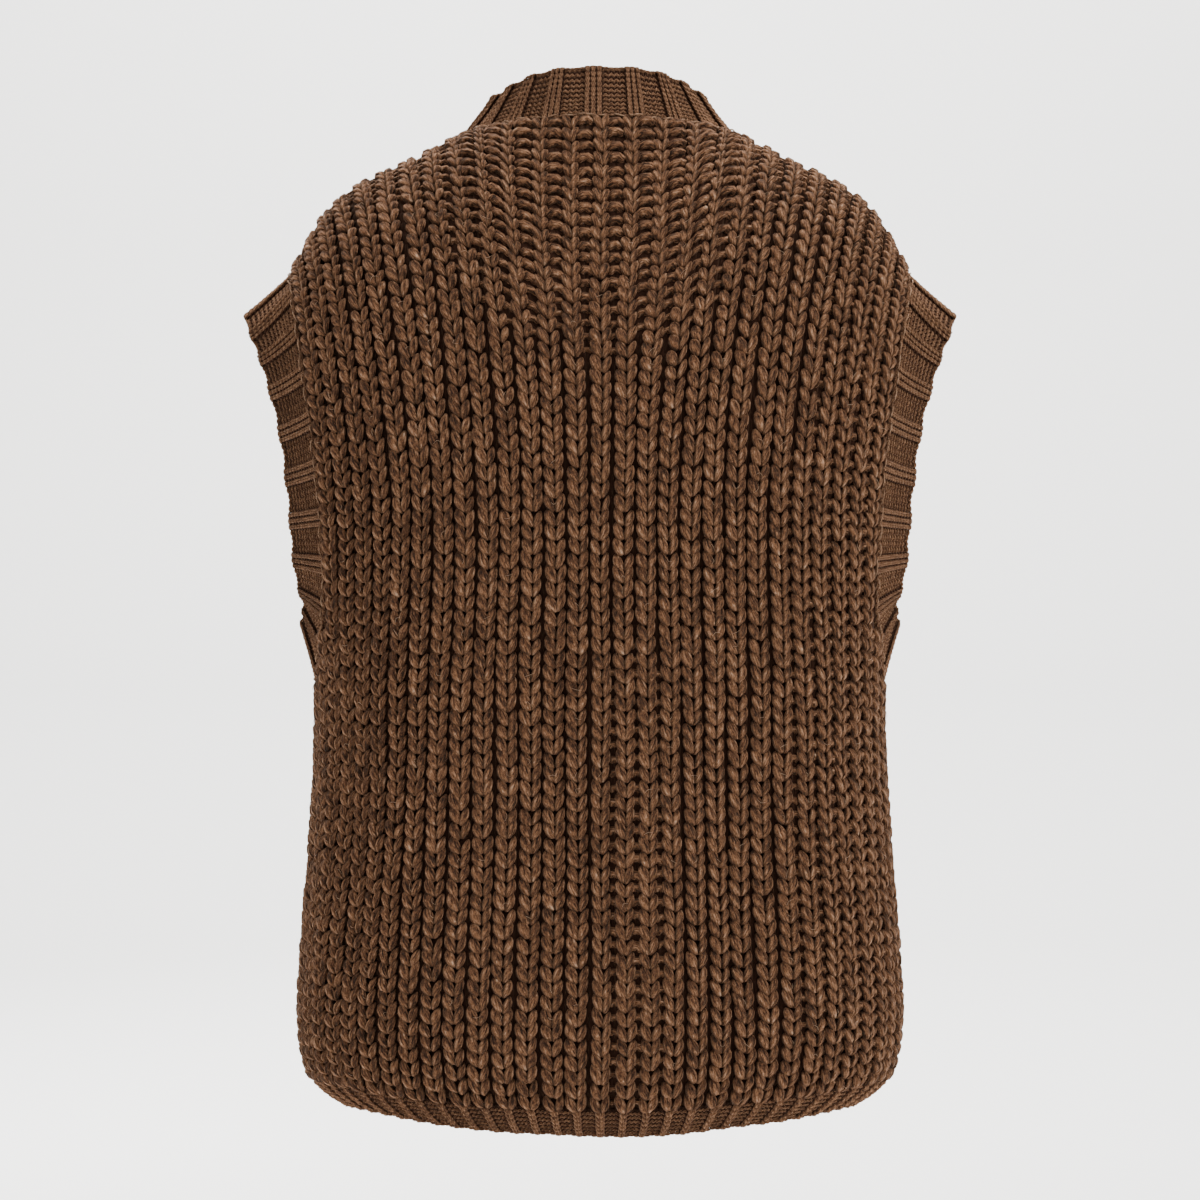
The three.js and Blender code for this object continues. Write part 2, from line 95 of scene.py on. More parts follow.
# Height up the armhole as a share, then how far its band stands out
ARM_LEAN = np.array([
    (0, 0.28), (0.12, 0.38), (0.27, 0.62), (0.45, 0.67), (0.62, 0.71), (0.8, 0.92), (1, 1.18),
])
# Wale, then how far the hem is lifted there
HEM_LINE = np.array([
    (-4, -1.6), (0, -3), (4, -1.6), (6, 0), (9, 2.9), (11.5, 5), (13.5, 5.6), (15.5, 4.6), (17.5, 3.6),
    (19.5, 4.6),
])
HEM_LIFT_TOP = 0.2
# Soft upright folds: wale and level of the highest point, reach in wales and levels, height
FOLDS = {
    "back": [
        (-2.6, 0.12, 2.2, 0.3, 5),
        (-6.4, 0.15, 1.6, 0.34, -4),
        (2.4, 0.2, 1.7, 0.36, -4.5),
        (-9.6, 0.2, 1.5, 0.26, 3),
        (7.4, 0.16, 2.4, 0.26, 3.5),
        (11.5, 0.3, 1.5, 0.25, -2.5),
        (-4.5, 0.55, 2, 0.2, -2.5),
    ],
    "front": [
        (3.1, 0.14, 2, 0.32, 4.5),
        (-1.2, 0.18, 1.7, 0.3, -4),
        (-5.5, 0.12, 2.1, 0.25, 3.5),
        (8.2, 0.22, 1.6, 0.3, -3.5),
        (-10.6, 0.25, 1.6, 0.28, -2.5),
        (12, 0.15, 1.7, 0.22, 2.5),
    ],
}
FOLD_START = 0.13
SMOOTH_WALES = 2.4
SMOOTH_STEPS = 4
SEAM_REACH = 7
STEP = 1e-3


def level(z):
    return (z - HEM_SEAM) / PATH_LENGTH


LEVEL_UNDERARM = level(UNDERARM)
LEVEL_STRAIGHT = level(ARMHOLE_STRAIGHT)
LEVEL_YOKE = level(YOKE_START)
HEM_LEVEL = level(HEM_EDGE)
FACING = {"back": 1, "front": -1}


def column_at(table, column, at):
    """A table's column between its rows, on a smooth curve through them."""
    keys, values = table[:, 0], table[:, column]
    i = np.clip(np.searchsorted(keys, at, side="right") - 1, 0, len(keys) - 2)
    slopes = np.diff(values) / np.diff(keys)
    here = slopes[i]
    before = (slopes[np.maximum(i - 1, 0)] + here) / 2
    after = (slopes[np.minimum(i + 1, len(slopes) - 1)] + here) / 2
    span = keys[i + 1] - keys[i]
    t = (at - keys[i]) / span
    t2, t3 = t**2, t**3
    return (
        (2 * t3 - 3 * t2 + 1) * values[i] + (t3 - 2 * t2 + t) * span * before
        + (3 * t2 - 2 * t3) * values[i + 1] + (t3 - t2) * span * after
    )


def ring_points(wales, z, panel):
    """Points of the torso ring at height z, one for each wale."""
    half = column_at(SECTIONS, HALF, z)
    depth = column_at(SECTIONS, DEPTH[panel], z)
    quarter = column_at(SECTIONS, QUARTER_WALES, z)
    power = 2 / RING_POWER

    def spot(angle):
        return half * np.sin(angle) ** power, depth * np.maximum(np.cos(angle), 0) ** power

    steps = np.linspace(0, math.pi / 2, RING_STEPS + 1)
    x, y = spot(steps)
    run = np.concatenate([[0], np.cumsum(np.hypot(np.diff(x), np.diff(y)))])
    want = np.minimum(np.abs(wales) / quarter, 1) * run[-1]
    x, y = spot(np.interp(want, run, steps))
    left = min(max(1 - level(z) / HEM_LIFT_TOP, 0), 1)
    lift = column_at(HEM_LINE, 1, np.abs(wales)) * left**2
    return np.stack([np.sign(wales) * x, FACING[panel] * (y + SEAM_GAP / 2), z + lift], -1)


def unit(v):
    return v / np.maximum(np.linalg.norm(v, axis=-1, keepdims=True), 1e-12)


def wale_ends(wales, panel):
    """Where each wale ends at the top, and the way it runs there."""
    facing = FACING[panel]
    hand = np.where(wales < 0, -1.0, 1.0)
    size = np.abs(wales)
    share = np.clip((size - NECK_WALE) / (ARMHOLE_WALE - NECK_WALE), 0, 1)
    across, up = column_at(SHOULDER, 1, share), column_at(SHOULDER, 2, share)
    shoulder = np.stack([hand * across, np.full_like(size, facing * SEAM_GAP / 2), up], -1)
    over = np.broadcast_to([0.0, -facing, 0.0], shoulder.shape)
    neck = NECK_BACK if panel == "back" else NECK_FRONT
    angle = np.arcsin(np.minimum(size / NECK_WALE, 1) * math.sin(NECK_TURN))
    inward = np.maximum(np.cos(angle) - math.cos(NECK_TURN), 0) / (1 - math.cos(NECK_TURN))
    round_neck = np.stack(
        [
            hand * NECK_HALF_WIDTH * size / NECK_WALE,
            facing * (neck["depth"] * inward + SEAM_GAP / 2),
            NECK_POINT_HEIGHT + neck["rise"] * inward ** neck["power"],
        ],
        -1,
    )
    turn = inward ** NECK_RUN["power"]
    level_part = -facing * (1 - NECK_RUN["less_over"] * turn)
    up = unit(np.stack([0 * turn, level_part, NECK_RUN["up"] * turn], -1))
    beside = (size > NECK_WALE)[:, None]
    return np.where(beside, shoulder, round_neck), np.where(beside, over, up)


def smooth_ends(wales, panel):
    """The same, evened out over the wales beside it."""
    reach = np.minimum(SMOOTH_WALES, ARMHOLE_WALE - np.abs(wales))
    point, way, weight = 0, 0, 0
    for k in range(-SMOOTH_STEPS, SMOOTH_STEPS + 1):
        share = 1 - abs(k) / (SMOOTH_STEPS + 1)
        beside, its_way = wale_ends(wales + reach * k / SMOOTH_STEPS, panel)
        point = point + beside * share
        way = way + its_way * share
        weight += share
    return point / weight, unit(way)


def end_levels(wales, panel):
    """The level where each wale ends at the top."""
    size = np.abs(wales)
    start = ring_points(size, YOKE_START, panel)
    reach = np.linalg.norm(start - wale_ends(size, panel)[0], axis=-1) * ARC
    middle = np.zeros(1)
    whole = np.linalg.norm(ring_points(middle, YOKE_START, "back") - wale_ends(middle, "back")[0]) * ARC
    even = EVEN_ROWS[panel]
    return LEVEL_YOKE + (reach * (1 - even) + whole * even) / PATH_LENGTH


def lower_tops(wales):
    """The level where a wale under the armhole ends."""
    across = np.clip((SIDE_WALE - np.abs(wales)) / (SIDE_WALE - ARMHOLE_WALE), 0, 1)
    return LEVEL_STRAIGHT - (LEVEL_STRAIGHT - LEVEL_UNDERARM) * np.sqrt(1 - across**2)


def yoke_points(wales, at, panel):
    """The crest surface above the plain rings, over the shoulders and up to the neck."""
    start = ring_points(wales, YOKE_START, panel)
    under = ring_points(wales, YOKE_START - STEP * PATH_LENGTH, panel)
    end, way = smooth_ends(wales, panel)
    seam, seam_way = wale_ends(wales, panel)
    u = ((at - LEVEL_YOKE) / (end_levels(wales, panel) - LEVEL_YOKE))[:, None]
    reach = np.linalg.norm(start - end, axis=-1, keepdims=True) * ARC
    leaving = unit(start - under) * reach
    near = np.clip(u, 0, 1) ** SEAM_REACH * (1 + SEAM_REACH * (1 - np.clip(u, 0, 1)))
    arriving = (way * (1 - near) + seam_way * near) * reach
    u2, u3 = u**2, u**3
    return (
        start * (2 * u3 - 3 * u2 + 1) + leaving * (u3 - 2 * u2 + u)
        + end * (3 * u2 - 2 * u3) + arriving * (u3 - u2) + (seam - end) * near
    )


def fold_heights(wales, at, panel):
    """Height of the soft folds, fading out at the side seams and held in by the hem rib."""
    free = np.clip(at / FOLD_START, 0, 1)
    side = np.minimum(np.abs(wales) / SIDE_WALE, 1)
    fade = (1 - side**6) * (0.2 + 0.8 * free * free * (3 - 2 * free))
    height = 0
    for wale, peak, reach, tall, size in FOLDS[panel]:
        height = height + size * np.exp(-(((wales - wale) / reach) ** 2) - ((at - peak) / tall) ** 2)
    return height * fade


class Cloth:
    """A sheet's crest surface as a fine grid over two numbers, with its normals and local spacing."""

    def __init__(self, first, second, points, normals, closed=False):
        self.first, self.second, self.closed = first, second, closed
        self.points, self.normals = points, normals
        across, along = np.gradient(points, first, second, axis=(0, 1))
        self.across = np.linalg.norm(across, axis=-1)[..., None]
        self.along = np.linalg.norm(along, axis=-1)[..., None]

    def blend(self, grid, a, b):
        if self.closed:
            a = np.mod(a, 1)
        i = np.interp(a, self.first, np.arange(len(self.first)))
        j = np.interp(b, self.second, np.arange(len(self.second)))
        i0 = np.minimum(i.astype(int), len(self.first) - 2)
        j0 = np.minimum(j.astype(int), len(self.second) - 2)
        p, q = (i - i0)[..., None], (j - j0)[..., None]
        low = grid[i0, j0] * (1 - p) + grid[i0 + 1, j0] * p
        high = grid[i0, j0 + 1] * (1 - p) + grid[i0 + 1, j0 + 1] * p
        return low * (1 - q) + high * q

    def spot(self, a, b, height):
        """Points at a height above the crest surface, in metres."""
        out = unit(self.blend(self.normals, a, b))
        return (self.blend(self.points, a, b) + out * height[..., None]) / 1000

    def spacing(self, a, b):
        """Millimetres for one of each number, at a place."""
        return self.blend(self.across, a, b)[..., 0], self.blend(self.along, a, b)[..., 0]

    def widths(self, places):
        """Millimetres for one of the first number at each place, as a column."""
        return self.spacing(places[:, 0], places[:, 1])[0][:, None]


ROW_MM = 7.6  # one row of the chunky knit
ROW = ROW_MM / PATH_LENGTH
WALE_STEP = 0.25  # in wales, from column to column of a panel's sheet and walls
SIDE_STEP = 0.25  # in wales, how far in from the side seam the rings' way past it is taken
GRID_TOP = 1.16  # a level above the top of every wale


def wale_grid(beyond=0):
    """Wales from side seam to side seam, and some more beyond each."""
    count = round(2 * SIDE_WALE / WALE_STEP)
    return np.arange(-beyond, count + beyond + 1) * WALE_STEP - SIDE_WALE


def panel_cloth(panel):
    wales = wale_grid(beyond=1)
    levels = np.arange(HEM_LEVEL - 2 * STEP, GRID_TOP, ROW / 2)
    columns = []
    for at in levels:
        low = at <= LEVEL_YOKE
        limit, step = (SIDE_WALE, SIDE_STEP) if low else (ARMHOLE_WALE, STEP)
        inside = np.clip(wales, -limit, limit)
        near = inside - np.sign(inside) * step
        if low:
            edge, before = (ring_points(w, HEM_SEAM + at * PATH_LENGTH, panel) for w in (inside, near))
        else:
            edge, before = (yoke_points(w, np.full_like(wales, at), panel) for w in (inside, near))
        columns.append(edge + (edge - before) * (np.abs(wales - inside) / step)[:, None])
    points = np.stack(columns, 1)
    points[..., 2] -= NECK_POINT_HEIGHT

    def outwards(p):
        across, along = np.gradient(p, wales, levels, axis=(0, 1))
        return unit(np.cross(across, along)) * -FACING[panel]

    heights = fold_heights(wales[:, None], levels[None, :], panel)
    points = points + outwards(points) * heights[..., None]
    return Cloth(wales, levels, points, outwards(points))


cloth = {panel: panel_cloth(panel) for panel in ("back", "front")}

# Bands of fine rib along the armholes and the neck
NECKBAND = {"width": 30, "ribs": 20, "rows": 11, "around": 470}
ARMBAND = {"width": 36, "ribs": 22, "rows": 13, "around": 560}
BAND_STEPS = 480
BAND_ROWS = np.linspace(-0.1, 1, 17)  # shares of a band's width, from a little below its seam
SEAM_STEPS = 24
SEAM_NEAR = 0.01  # share of a seam, either side of a place, for the way it runs there
# Share of the way round an armhole, then how far a rib slants towards the underarm by the band's edge, in mm
ARM_SLANT = np.array([
    (0, 0), (0.035, 8.5), (0.07, 10.8), (0.13, 9), (0.2, 6.8), (0.28, 2.6), (0.34, -1.5), (0.42, -3),
    (0.5, 0), (0.58, 3), (0.66, 1.5), (0.72, -2.6), (0.8, -6.8), (0.87, -9), (0.93, -10.8),
    (0.965, -8.5), (1, 0),
])
NECK_SLANT = np.array([(0, 0), (1, 0)])  # the neckband's ribs stand straight


def seam_spots(wales, levels, panel):
    sheet = cloth[panel]
    out = unit(sheet.blend(sheet.normals, wales, levels))
    return sheet.blend(sheet.points, wales, levels) + out * SEAM_DEPTH, out


def armhole_seam(hand):
    """Points and normals round an armhole: down the back from the shoulder, then up the front."""
    edge = np.full(SEAM_STEPS, hand * ARMHOLE_WALE)
    under = hand * np.linspace(ARMHOLE_WALE, SIDE_WALE, SEAM_STEPS)
    sides = []
    for panel in ("back", "front"):
        top = end_levels(edge[:1], panel)[0]
        wales = np.concatenate([edge, under])
        levels = np.concatenate([np.linspace(top, LEVEL_STRAIGHT, SEAM_STEPS), lower_tops(under)])
        sides.append(seam_spots(wales, levels, panel))
    return [np.concatenate([back, front[::-1]]) for back, front in zip(*sides)]


def neck_seam():
    """Points and normals round the neck: along the back from one neck point, then back along the front."""
    wales = np.linspace(-NECK_WALE, NECK_WALE, 2 * SEAM_STEPS)
    sides = [seam_spots(wales, end_levels(wales, panel), panel) for panel in ("back", "front")]
    return [np.concatenate([back, front[::-1]]) for back, front in zip(*sides)]


def round_seam(points, outs, shares):
    """A closed seam line at shares of its length."""
    closed = np.concatenate([points, points[:1]])
    run = np.concatenate([[0], np.cumsum(np.linalg.norm(np.diff(closed, axis=0), axis=1))])
    at = np.mod(shares, 1) * run[-1]
    outs = np.concatenate([outs, outs[:1]])
    return (
        np.stack([np.interp(at, run, closed[:, k]) for k in range(3)], -1),
        unit(np.stack([np.interp(at, run, outs[:, k]) for k in range(3)], -1)),
    )


def neck_lean(points):
    """The neckband stands up, and leans in most beside the neck points."""
    x, y = points[:, 0], points[:, 1]
    side = np.minimum(np.abs(x) / NECK_HALF_WIDTH, 1)
    inward = -np.sign(x) * NECK_SIDE_LEAN * side**1.6
    back = -y / NECK_BACK["depth"] * NECK_BACK["lean"]
    front = -y / NECK_FRONT["depth"] * NECK_FRONT["lean"]
    return unit(np.stack([inward, np.where(y > 0, back, front), np.ones_like(x)], -1))


def arm_lean(hand):
    """An armhole band turns in towards the middle of the armhole, and stands out most at the shoulder."""
    tip = SHOULDER[-1, 2]
    middle, half_height = (tip + UNDERARM) / 2, (tip - UNDERARM) / 2

    def lean(points):
        up = (points[:, 2] + NECK_POINT_HEIGHT - middle) / half_height
        across = -points[:, 1] / ARMHOLE_HALF_DEPTH
        inward = unit(np.stack([0 * up, across, -np.sign(up) * np.abs(up) ** 3], -1))
        outward = column_at(ARM_LEAN, 1, np.clip((up + 1) / 2, 0, 1))
        return unit(inward + np.stack([hand * outward, 0 * up, 0 * up], -1))

    return lean


def band_cloth(seam, width, lean, turn, slant):
    """The middle surface of a band, over a share of the way round and a share of the width."""
    shares = np.linspace(0, 1, BAND_STEPS + 1)
    around = np.linalg.norm(np.diff(seam[0], axis=0), axis=1).sum()
    points, normals = [], []
    for row in BAND_ROWS:
        places = shares + column_at(slant, 1, shares) / around * max(row, 0)
        start, outs = round_seam(*seam, places)
        along = round_seam(*seam, places + SEAM_NEAR)[0] - round_seam(*seam, places - SEAM_NEAR)[0]
        off = unit(np.cross(along, outs)) * turn
        way = lean(start)
        face = unit(np.cross(way, along)) * turn
        start = start + off * BAND_GAP
        bend = start + unit(way + off * BAND_SLOPE) * width * BAND_BEND
        end = start + way * width
        points.append(start * (1 - row) ** 2 + bend * 2 * row * (1 - row) + end * row**2)
        turned = min(max(row * 2, 0), 1)
        normals.append(unit(outs * (1 - turned) + face * turned))
    return Cloth(shares, BAND_ROWS, np.stack(points, 1), np.stack(normals, 1), closed=True)


neck = band_cloth(neck_seam(), NECKBAND["width"], neck_lean, 1, NECK_SLANT)
arms = {
    "left": band_cloth(armhole_seam(1), ARMBAND["width"], arm_lean(1), 1, ARM_SLANT),
    "right": band_cloth(armhole_seam(-1), ARMBAND["width"], arm_lean(-1), -1, ARM_SLANT),
}


# Meshes
def in_scene(name, data):
    """An object with this data, linked to the scene."""
    made = bpy.data.objects.new(name, data)
    bpy.context.scene.collection.objects.link(made)
    return made


def new_object(name, points, loops, starts, material, **attributes):
    """A smooth mesh object from arrays, riding on the one body."""
    mesh = bpy.data.meshes.new(name)
    mesh.vertices.add(len(points))
    mesh.vertices.foreach_set("co", points.astype(np.float32).ravel())
    mesh.loops.add(len(loops))
    mesh.loops.foreach_set("vertex_index", loops.astype(np.int32))
    mesh.polygons.add(len(starts))
    mesh.polygons.foreach_set("loop_start", starts.astype(np.int32))
    mesh.update(calc_edges=True)
    for key, values in attributes.items():
        layer = mesh.attributes.new(key, "FLOAT_VECTOR", "POINT")
        layer.data.foreach_set("vector", values.astype(np.float32).ravel())
    mesh.shade_smooth()
    mesh.materials.append(material)
    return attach(in_scene(name, mesh), "root")


def is_mirrored(sheet):
    """True if the sheet's two numbers and its normal make a left-handed frame."""
    across, along = np.gradient(sheet.points, axis=(0, 1))
    return (np.cross(across, along) * sheet.normals).sum() < 0


class Strands:
    """Many short lengths of yarn on a sheet, gathered into one mesh."""

    def __init__(self):
        self.points, self.loops, self.starts, self.yarn, self.stitch = [], [], [], [], []
        self.count = 0
        self.corner = 0

    def lay(self, sheet, places, path, wide, tall, sides, pale=0):
        """A strand at each place, along a path in millimetres across, along and above the sheet. pale is how
        much lighter it is drawn: paler yarn for loose fibres, and a painted highlight on the raised sewing."""
        across, along = sheet.spacing(places[:, 0], places[:, 1])
        number, rings = path.shape[0], path.shape[1] - 2
        tangent = unit(np.gradient(path, axis=1))
        side = unit(np.stack([tangent[..., 1], -tangent[..., 0], 0 * tangent[..., 0]], -1))
        top = np.cross(side, tangent)
        angles = np.arange(sides) * 2 * math.pi / sides
        ring = (
            path[:, 1:-1, None]
            + wide[:, 1:-1, None, None] * np.cos(angles)[:, None] * side[:, 1:-1, None]
            + tall[:, 1:-1, None, None] * np.sin(angles)[:, None] * top[:, 1:-1, None]
        ).reshape(number, -1, 3)
        local = np.concatenate([path[:, :1], ring, path[:, -1:]], 1)
        a = places[:, 0, None] + local[..., 0] / across[:, None]
        b = places[:, 1, None] + local[..., 1] / along[:, None]
        self.points.append(sheet.spot(a, b, local[..., 2]).reshape(-1, 3))
        last = rings * sides + 1
        lengths = np.linalg.norm(np.diff(path, axis=1), axis=-1)
        run = np.concatenate([np.zeros((number, 1)), np.cumsum(lengths, 1)], 1)
        turns = np.stack([np.cos(angles), np.sin(angles)], -1)
        yarn = np.zeros((number, last + 1, 3))
        yarn[:, 1:last, 0] = np.repeat(run[:, 1:-1], sides, axis=1)
        yarn[:, 1:last, 1:] = np.tile(turns, (rings, 1))
        yarn[:, last, 0] = run[:, -1]
        self.yarn.append(yarn.reshape(-1, 3))
        lot = rng.random((number, 1, 3))
        lot[..., 2] = pale
        self.stitch.append(np.broadcast_to(lot, yarn.shape).reshape(-1, 3))
        pattern, sizes = [], []
        for k in range(sides):
            here, then = 1 + k, 1 + (k + 1) % sides
            pattern += [0, here, then]
            sizes.append(3)
            for r in range(rings - 1):
                low, high = r * sides, (r + 1) * sides
                pattern += [low + here, high + here, high + then, low + then]
                sizes.append(4)
            pattern += [(rings - 1) * sides + here, last, (rings - 1) * sides + then]
            sizes.append(3)
        pattern, sizes = np.array(pattern), np.array(sizes)
        begins = np.concatenate([[0], np.cumsum(sizes)[:-1]])
        if is_mirrored(sheet):
            pattern = np.concatenate([part[::-1] for part in np.split(pattern, begins[1:])])
        firsts = self.count + np.arange(number)[:, None] * (last + 1)
        self.loops.append((firsts + pattern).ravel())
        self.starts.append((self.corner + np.arange(number)[:, None] * len(pattern) + begins).ravel())
        self.count += number * (last + 1)
        self.corner += number * len(pattern)

    def piece(self, name, material):
        made = new_object(
            name,
            np.concatenate(self.points),
            np.concatenate(self.loops),
            np.concatenate(self.starts),
            material,
            yarn=np.concatenate(self.yarn),
            stitch=np.concatenate(self.stitch),
        )
        return made


def knit_numbers(columns, rows, rib):
    """Column and row of the small loops at each place of a wall, and how far they are purl loops there."""
    return np.stack(np.broadcast_arrays(columns, rows, 0.5 + 0.5 * rib), -1)


def sheet_wall(name, sheet, a, b, there, outer, inner, knit, material):
    """A closed wall between two offsets of a sheet, on a grid of places, without cells that aren't there."""
    rows, cols = b.shape[1], len(a)
    ids = np.arange(cols * rows).reshape(cols, rows)
    if sheet.closed:
        ids = np.concatenate([ids, ids[:1]])
        there = np.concatenate([there, there[:1]])
    quads = np.stack([ids[:-1, :-1], ids[1:, :-1], ids[1:, 1:], ids[:-1, 1:]], -1)
    quads = quads[there[:-1, :-1] & there[1:, :-1] & there[1:, 1:] & there[:-1, 1:]]
    if is_mirrored(sheet):
        quads = quads[:, ::-1]
    places = np.broadcast_to(a[:, None], b.shape)
    total = cols * rows
    edges = np.concatenate([quads[:, [k, (k + 1) % 4]] for k in range(4)])
    keys, mirrored = edges[:, 0] * total + edges[:, 1], edges[:, 1] * total + edges[:, 0]
    rim = edges[~np.isin(keys, mirrored)]
    band = np.stack([rim[:, 1], rim[:, 0], rim[:, 0] + total, rim[:, 1] + total], -1)
    faces = np.concatenate([quads, quads[:, ::-1] + total, band])
    points = np.concatenate([sheet.spot(places, b, height).reshape(-1, 3) for height in (outer, inner)])
    knit = np.tile(knit.reshape(-1, 3), (2, 1))
    # inside is 0 on the outer face, which the ground's material paints flat dark as shade in the gaps, and 1
    # on the inner face.
    inside = np.repeat([[0.0] * 3, [1.0] * 3], total, axis=0)
    used, faces = np.unique(faces, return_inverse=True)
    starts = np.arange(faces.size // 4) * 4
    attributes = {"knit": knit[used], "inside": inside[used]}
    return new_object(name, points[used], faces.ravel(), starts, material, **attributes)


# Materials
def linear(code):
    """An sRGB hex colour as linear RGBA."""
    parts = [int(code[k : k + 2], 16) / 255 for k in (1, 3, 5)]
    return (*[c / 12.92 if c <= 0.04045 else ((c + 0.055) / 1.055) ** 2.4 for c in parts], 1)


def add(tree, kind, *values, **named):
    """A node. values fill its first sockets. Named ones are sockets if capital, else settings. A node as a
    value links its first output."""
    node = tree.nodes.new("ShaderNode" + kind)
    for key, value in named.items():
        if key[0].islower():
            setattr(node, key, value)
    sockets = list(zip(node.inputs, values))
    sockets += [(node.inputs[key.replace("_", " ")], named[key]) for key in named if key[0].isupper()]
    for socket, value in sockets:
        if isinstance(value, bpy.types.Node):
            value = value.outputs[0]
        if isinstance(value, bpy.types.NodeSocket):
            tree.links.new(value, socket)
        else:
            socket.default_value = value
    return node


def new_material(name):
    material = bpy.data.materials.new(name)
    material.use_nodes = True
    material.node_tree.nodes.clear()
    return material, material.node_tree


def set_stops(ramp, *stops):
    elements = ramp.color_ramp.elements
    while len(elements) < len(stops):
        elements.new(0.5)
    for element, (place, code) in zip(elements, stops):
        element.position = place
        element.color = linear(code)


PALE_FIBRE = "#c9a98c"
WOOL_SHEEN = "#b08a6c"
PLIES = 3.0
LOT_SLIDE = 40.0  # in wisps, how far their pattern moves from one strand to the next
WISP_ALONG, WISP_ACROSS = 0.1, 1.2
FUZZ_SCALE = 900.0  # one spot of fuzz is about 1 mm


def woolly_yarn(name, ply_mm, fibre_mm, dark, middle, light, relief):
    """Spun wool-blend yarn, loosely plied and matt. Its fibres give the eye fine streaks along each strand, a
    soft pale rim of fuzz and no gloss. They are some 0.03 mm thick, so they are drawn as coarser wisps."""
    material, tree = new_material(name)
    yarn = add(tree, "SeparateXYZ", add(tree, "Attribute", attribute_name="yarn").outputs["Vector"])
    lot = add(tree, "SeparateXYZ", add(tree, "Attribute", attribute_name="stitch").outputs["Vector"])
    along, cos, sin = yarn.outputs
    turn = add(tree, "Math", sin, cos, operation="ARCTAN2")
    twist = add(tree, "Math", along, 2 * math.pi / ply_mm, operation="MULTIPLY")
    twist = add(tree, "Math", turn, PLIES, twist, operation="MULTIPLY_ADD")
    plies = add(tree, "Math", twist, operation="SINE")
    slide = add(tree, "Math", lot.outputs[0], LOT_SLIDE, operation="MULTIPLY")
    wisp_place = add(
        tree,
        "CombineXYZ",
        add(tree, "Math", along, WISP_ALONG / fibre_mm, slide, operation="MULTIPLY_ADD"),
        add(tree, "Math", cos, WISP_ACROSS / fibre_mm, operation="MULTIPLY"),
        add(tree, "Math", sin, WISP_ACROSS / fibre_mm, operation="MULTIPLY"),
    )
    wisps = add(tree, "TexNoise", wisp_place, Scale=1.0, Detail=3.0, Roughness=0.6, Distortion=0.5)
    fuzz = add(tree, "TexNoise", add(tree, "NewGeometry"), Scale=FUZZ_SCALE, Detail=2.0, Roughness=0.7)
    shade, pale = lot.outputs[1:]
    tone, height = 0.0, 0.0
    # Tone: sin makes each strand's underside darker and its top lighter, painted shade and painted highlight.
    # plies darken the grooves between the plies, painted shade. shade is a random tone for each strand. pale
    # lightens the loose fibres, which are paler, and the sewing, where it is a painted highlight.
    parts = (wisps, 0.75), (fuzz, 0.25), (shade, 0.06), (pale, 0.35), (sin, 0.04), (plies, 0.05)
    for part, weight in parts:
        tone = add(tree, "Math", part, weight, tone, operation="MULTIPLY_ADD")
    # The wisps and fuzz give random streaks along the yarn. They also raise the bump below, so the colour is
    # darker where the yarn lies low: partly the fibres' own streaks, partly painted shade in the grooves. The
    # dark stop is reached in these grooves and on the undersides.
    colour = add(tree, "ValToRGB", tone)
    set_stops(colour, (0.44, dark), (0.54, middle), (0.65, light), (0.9, PALE_FIBRE))
    for part, weight in ((wisps, 2.4), (plies, 0.9), (fuzz, 0.6)):
        height = add(tree, "Math", part, weight, height, operation="MULTIPLY_ADD")
    bump = add(tree, "Bump", Strength=0.9, Distance=relief, Height=height)
    shader = add(
        tree,
        "BsdfPrincipled",
        Base_Color=colour,
        Roughness=0.95,
        Normal=bump,
        Sheen_Weight=0.35,
        Sheen_Roughness=0.5,
        Sheen_Tint=linear(WOOL_SHEEN),
        Specular_IOR_Level=0.15,
    )
    add(tree, "OutputMaterial", shader)
    return material


chunky_yarn = woolly_yarn("chunky wool-blend yarn", 9, 0.4, "#1a0e07", "#4d3120", "#7f593e", 0.0009)
rib_yarn = woolly_yarn("fine wool-blend rib yarn", 3, 0.25, "#38231a", "#634430", "#8a6448", 0.0003)


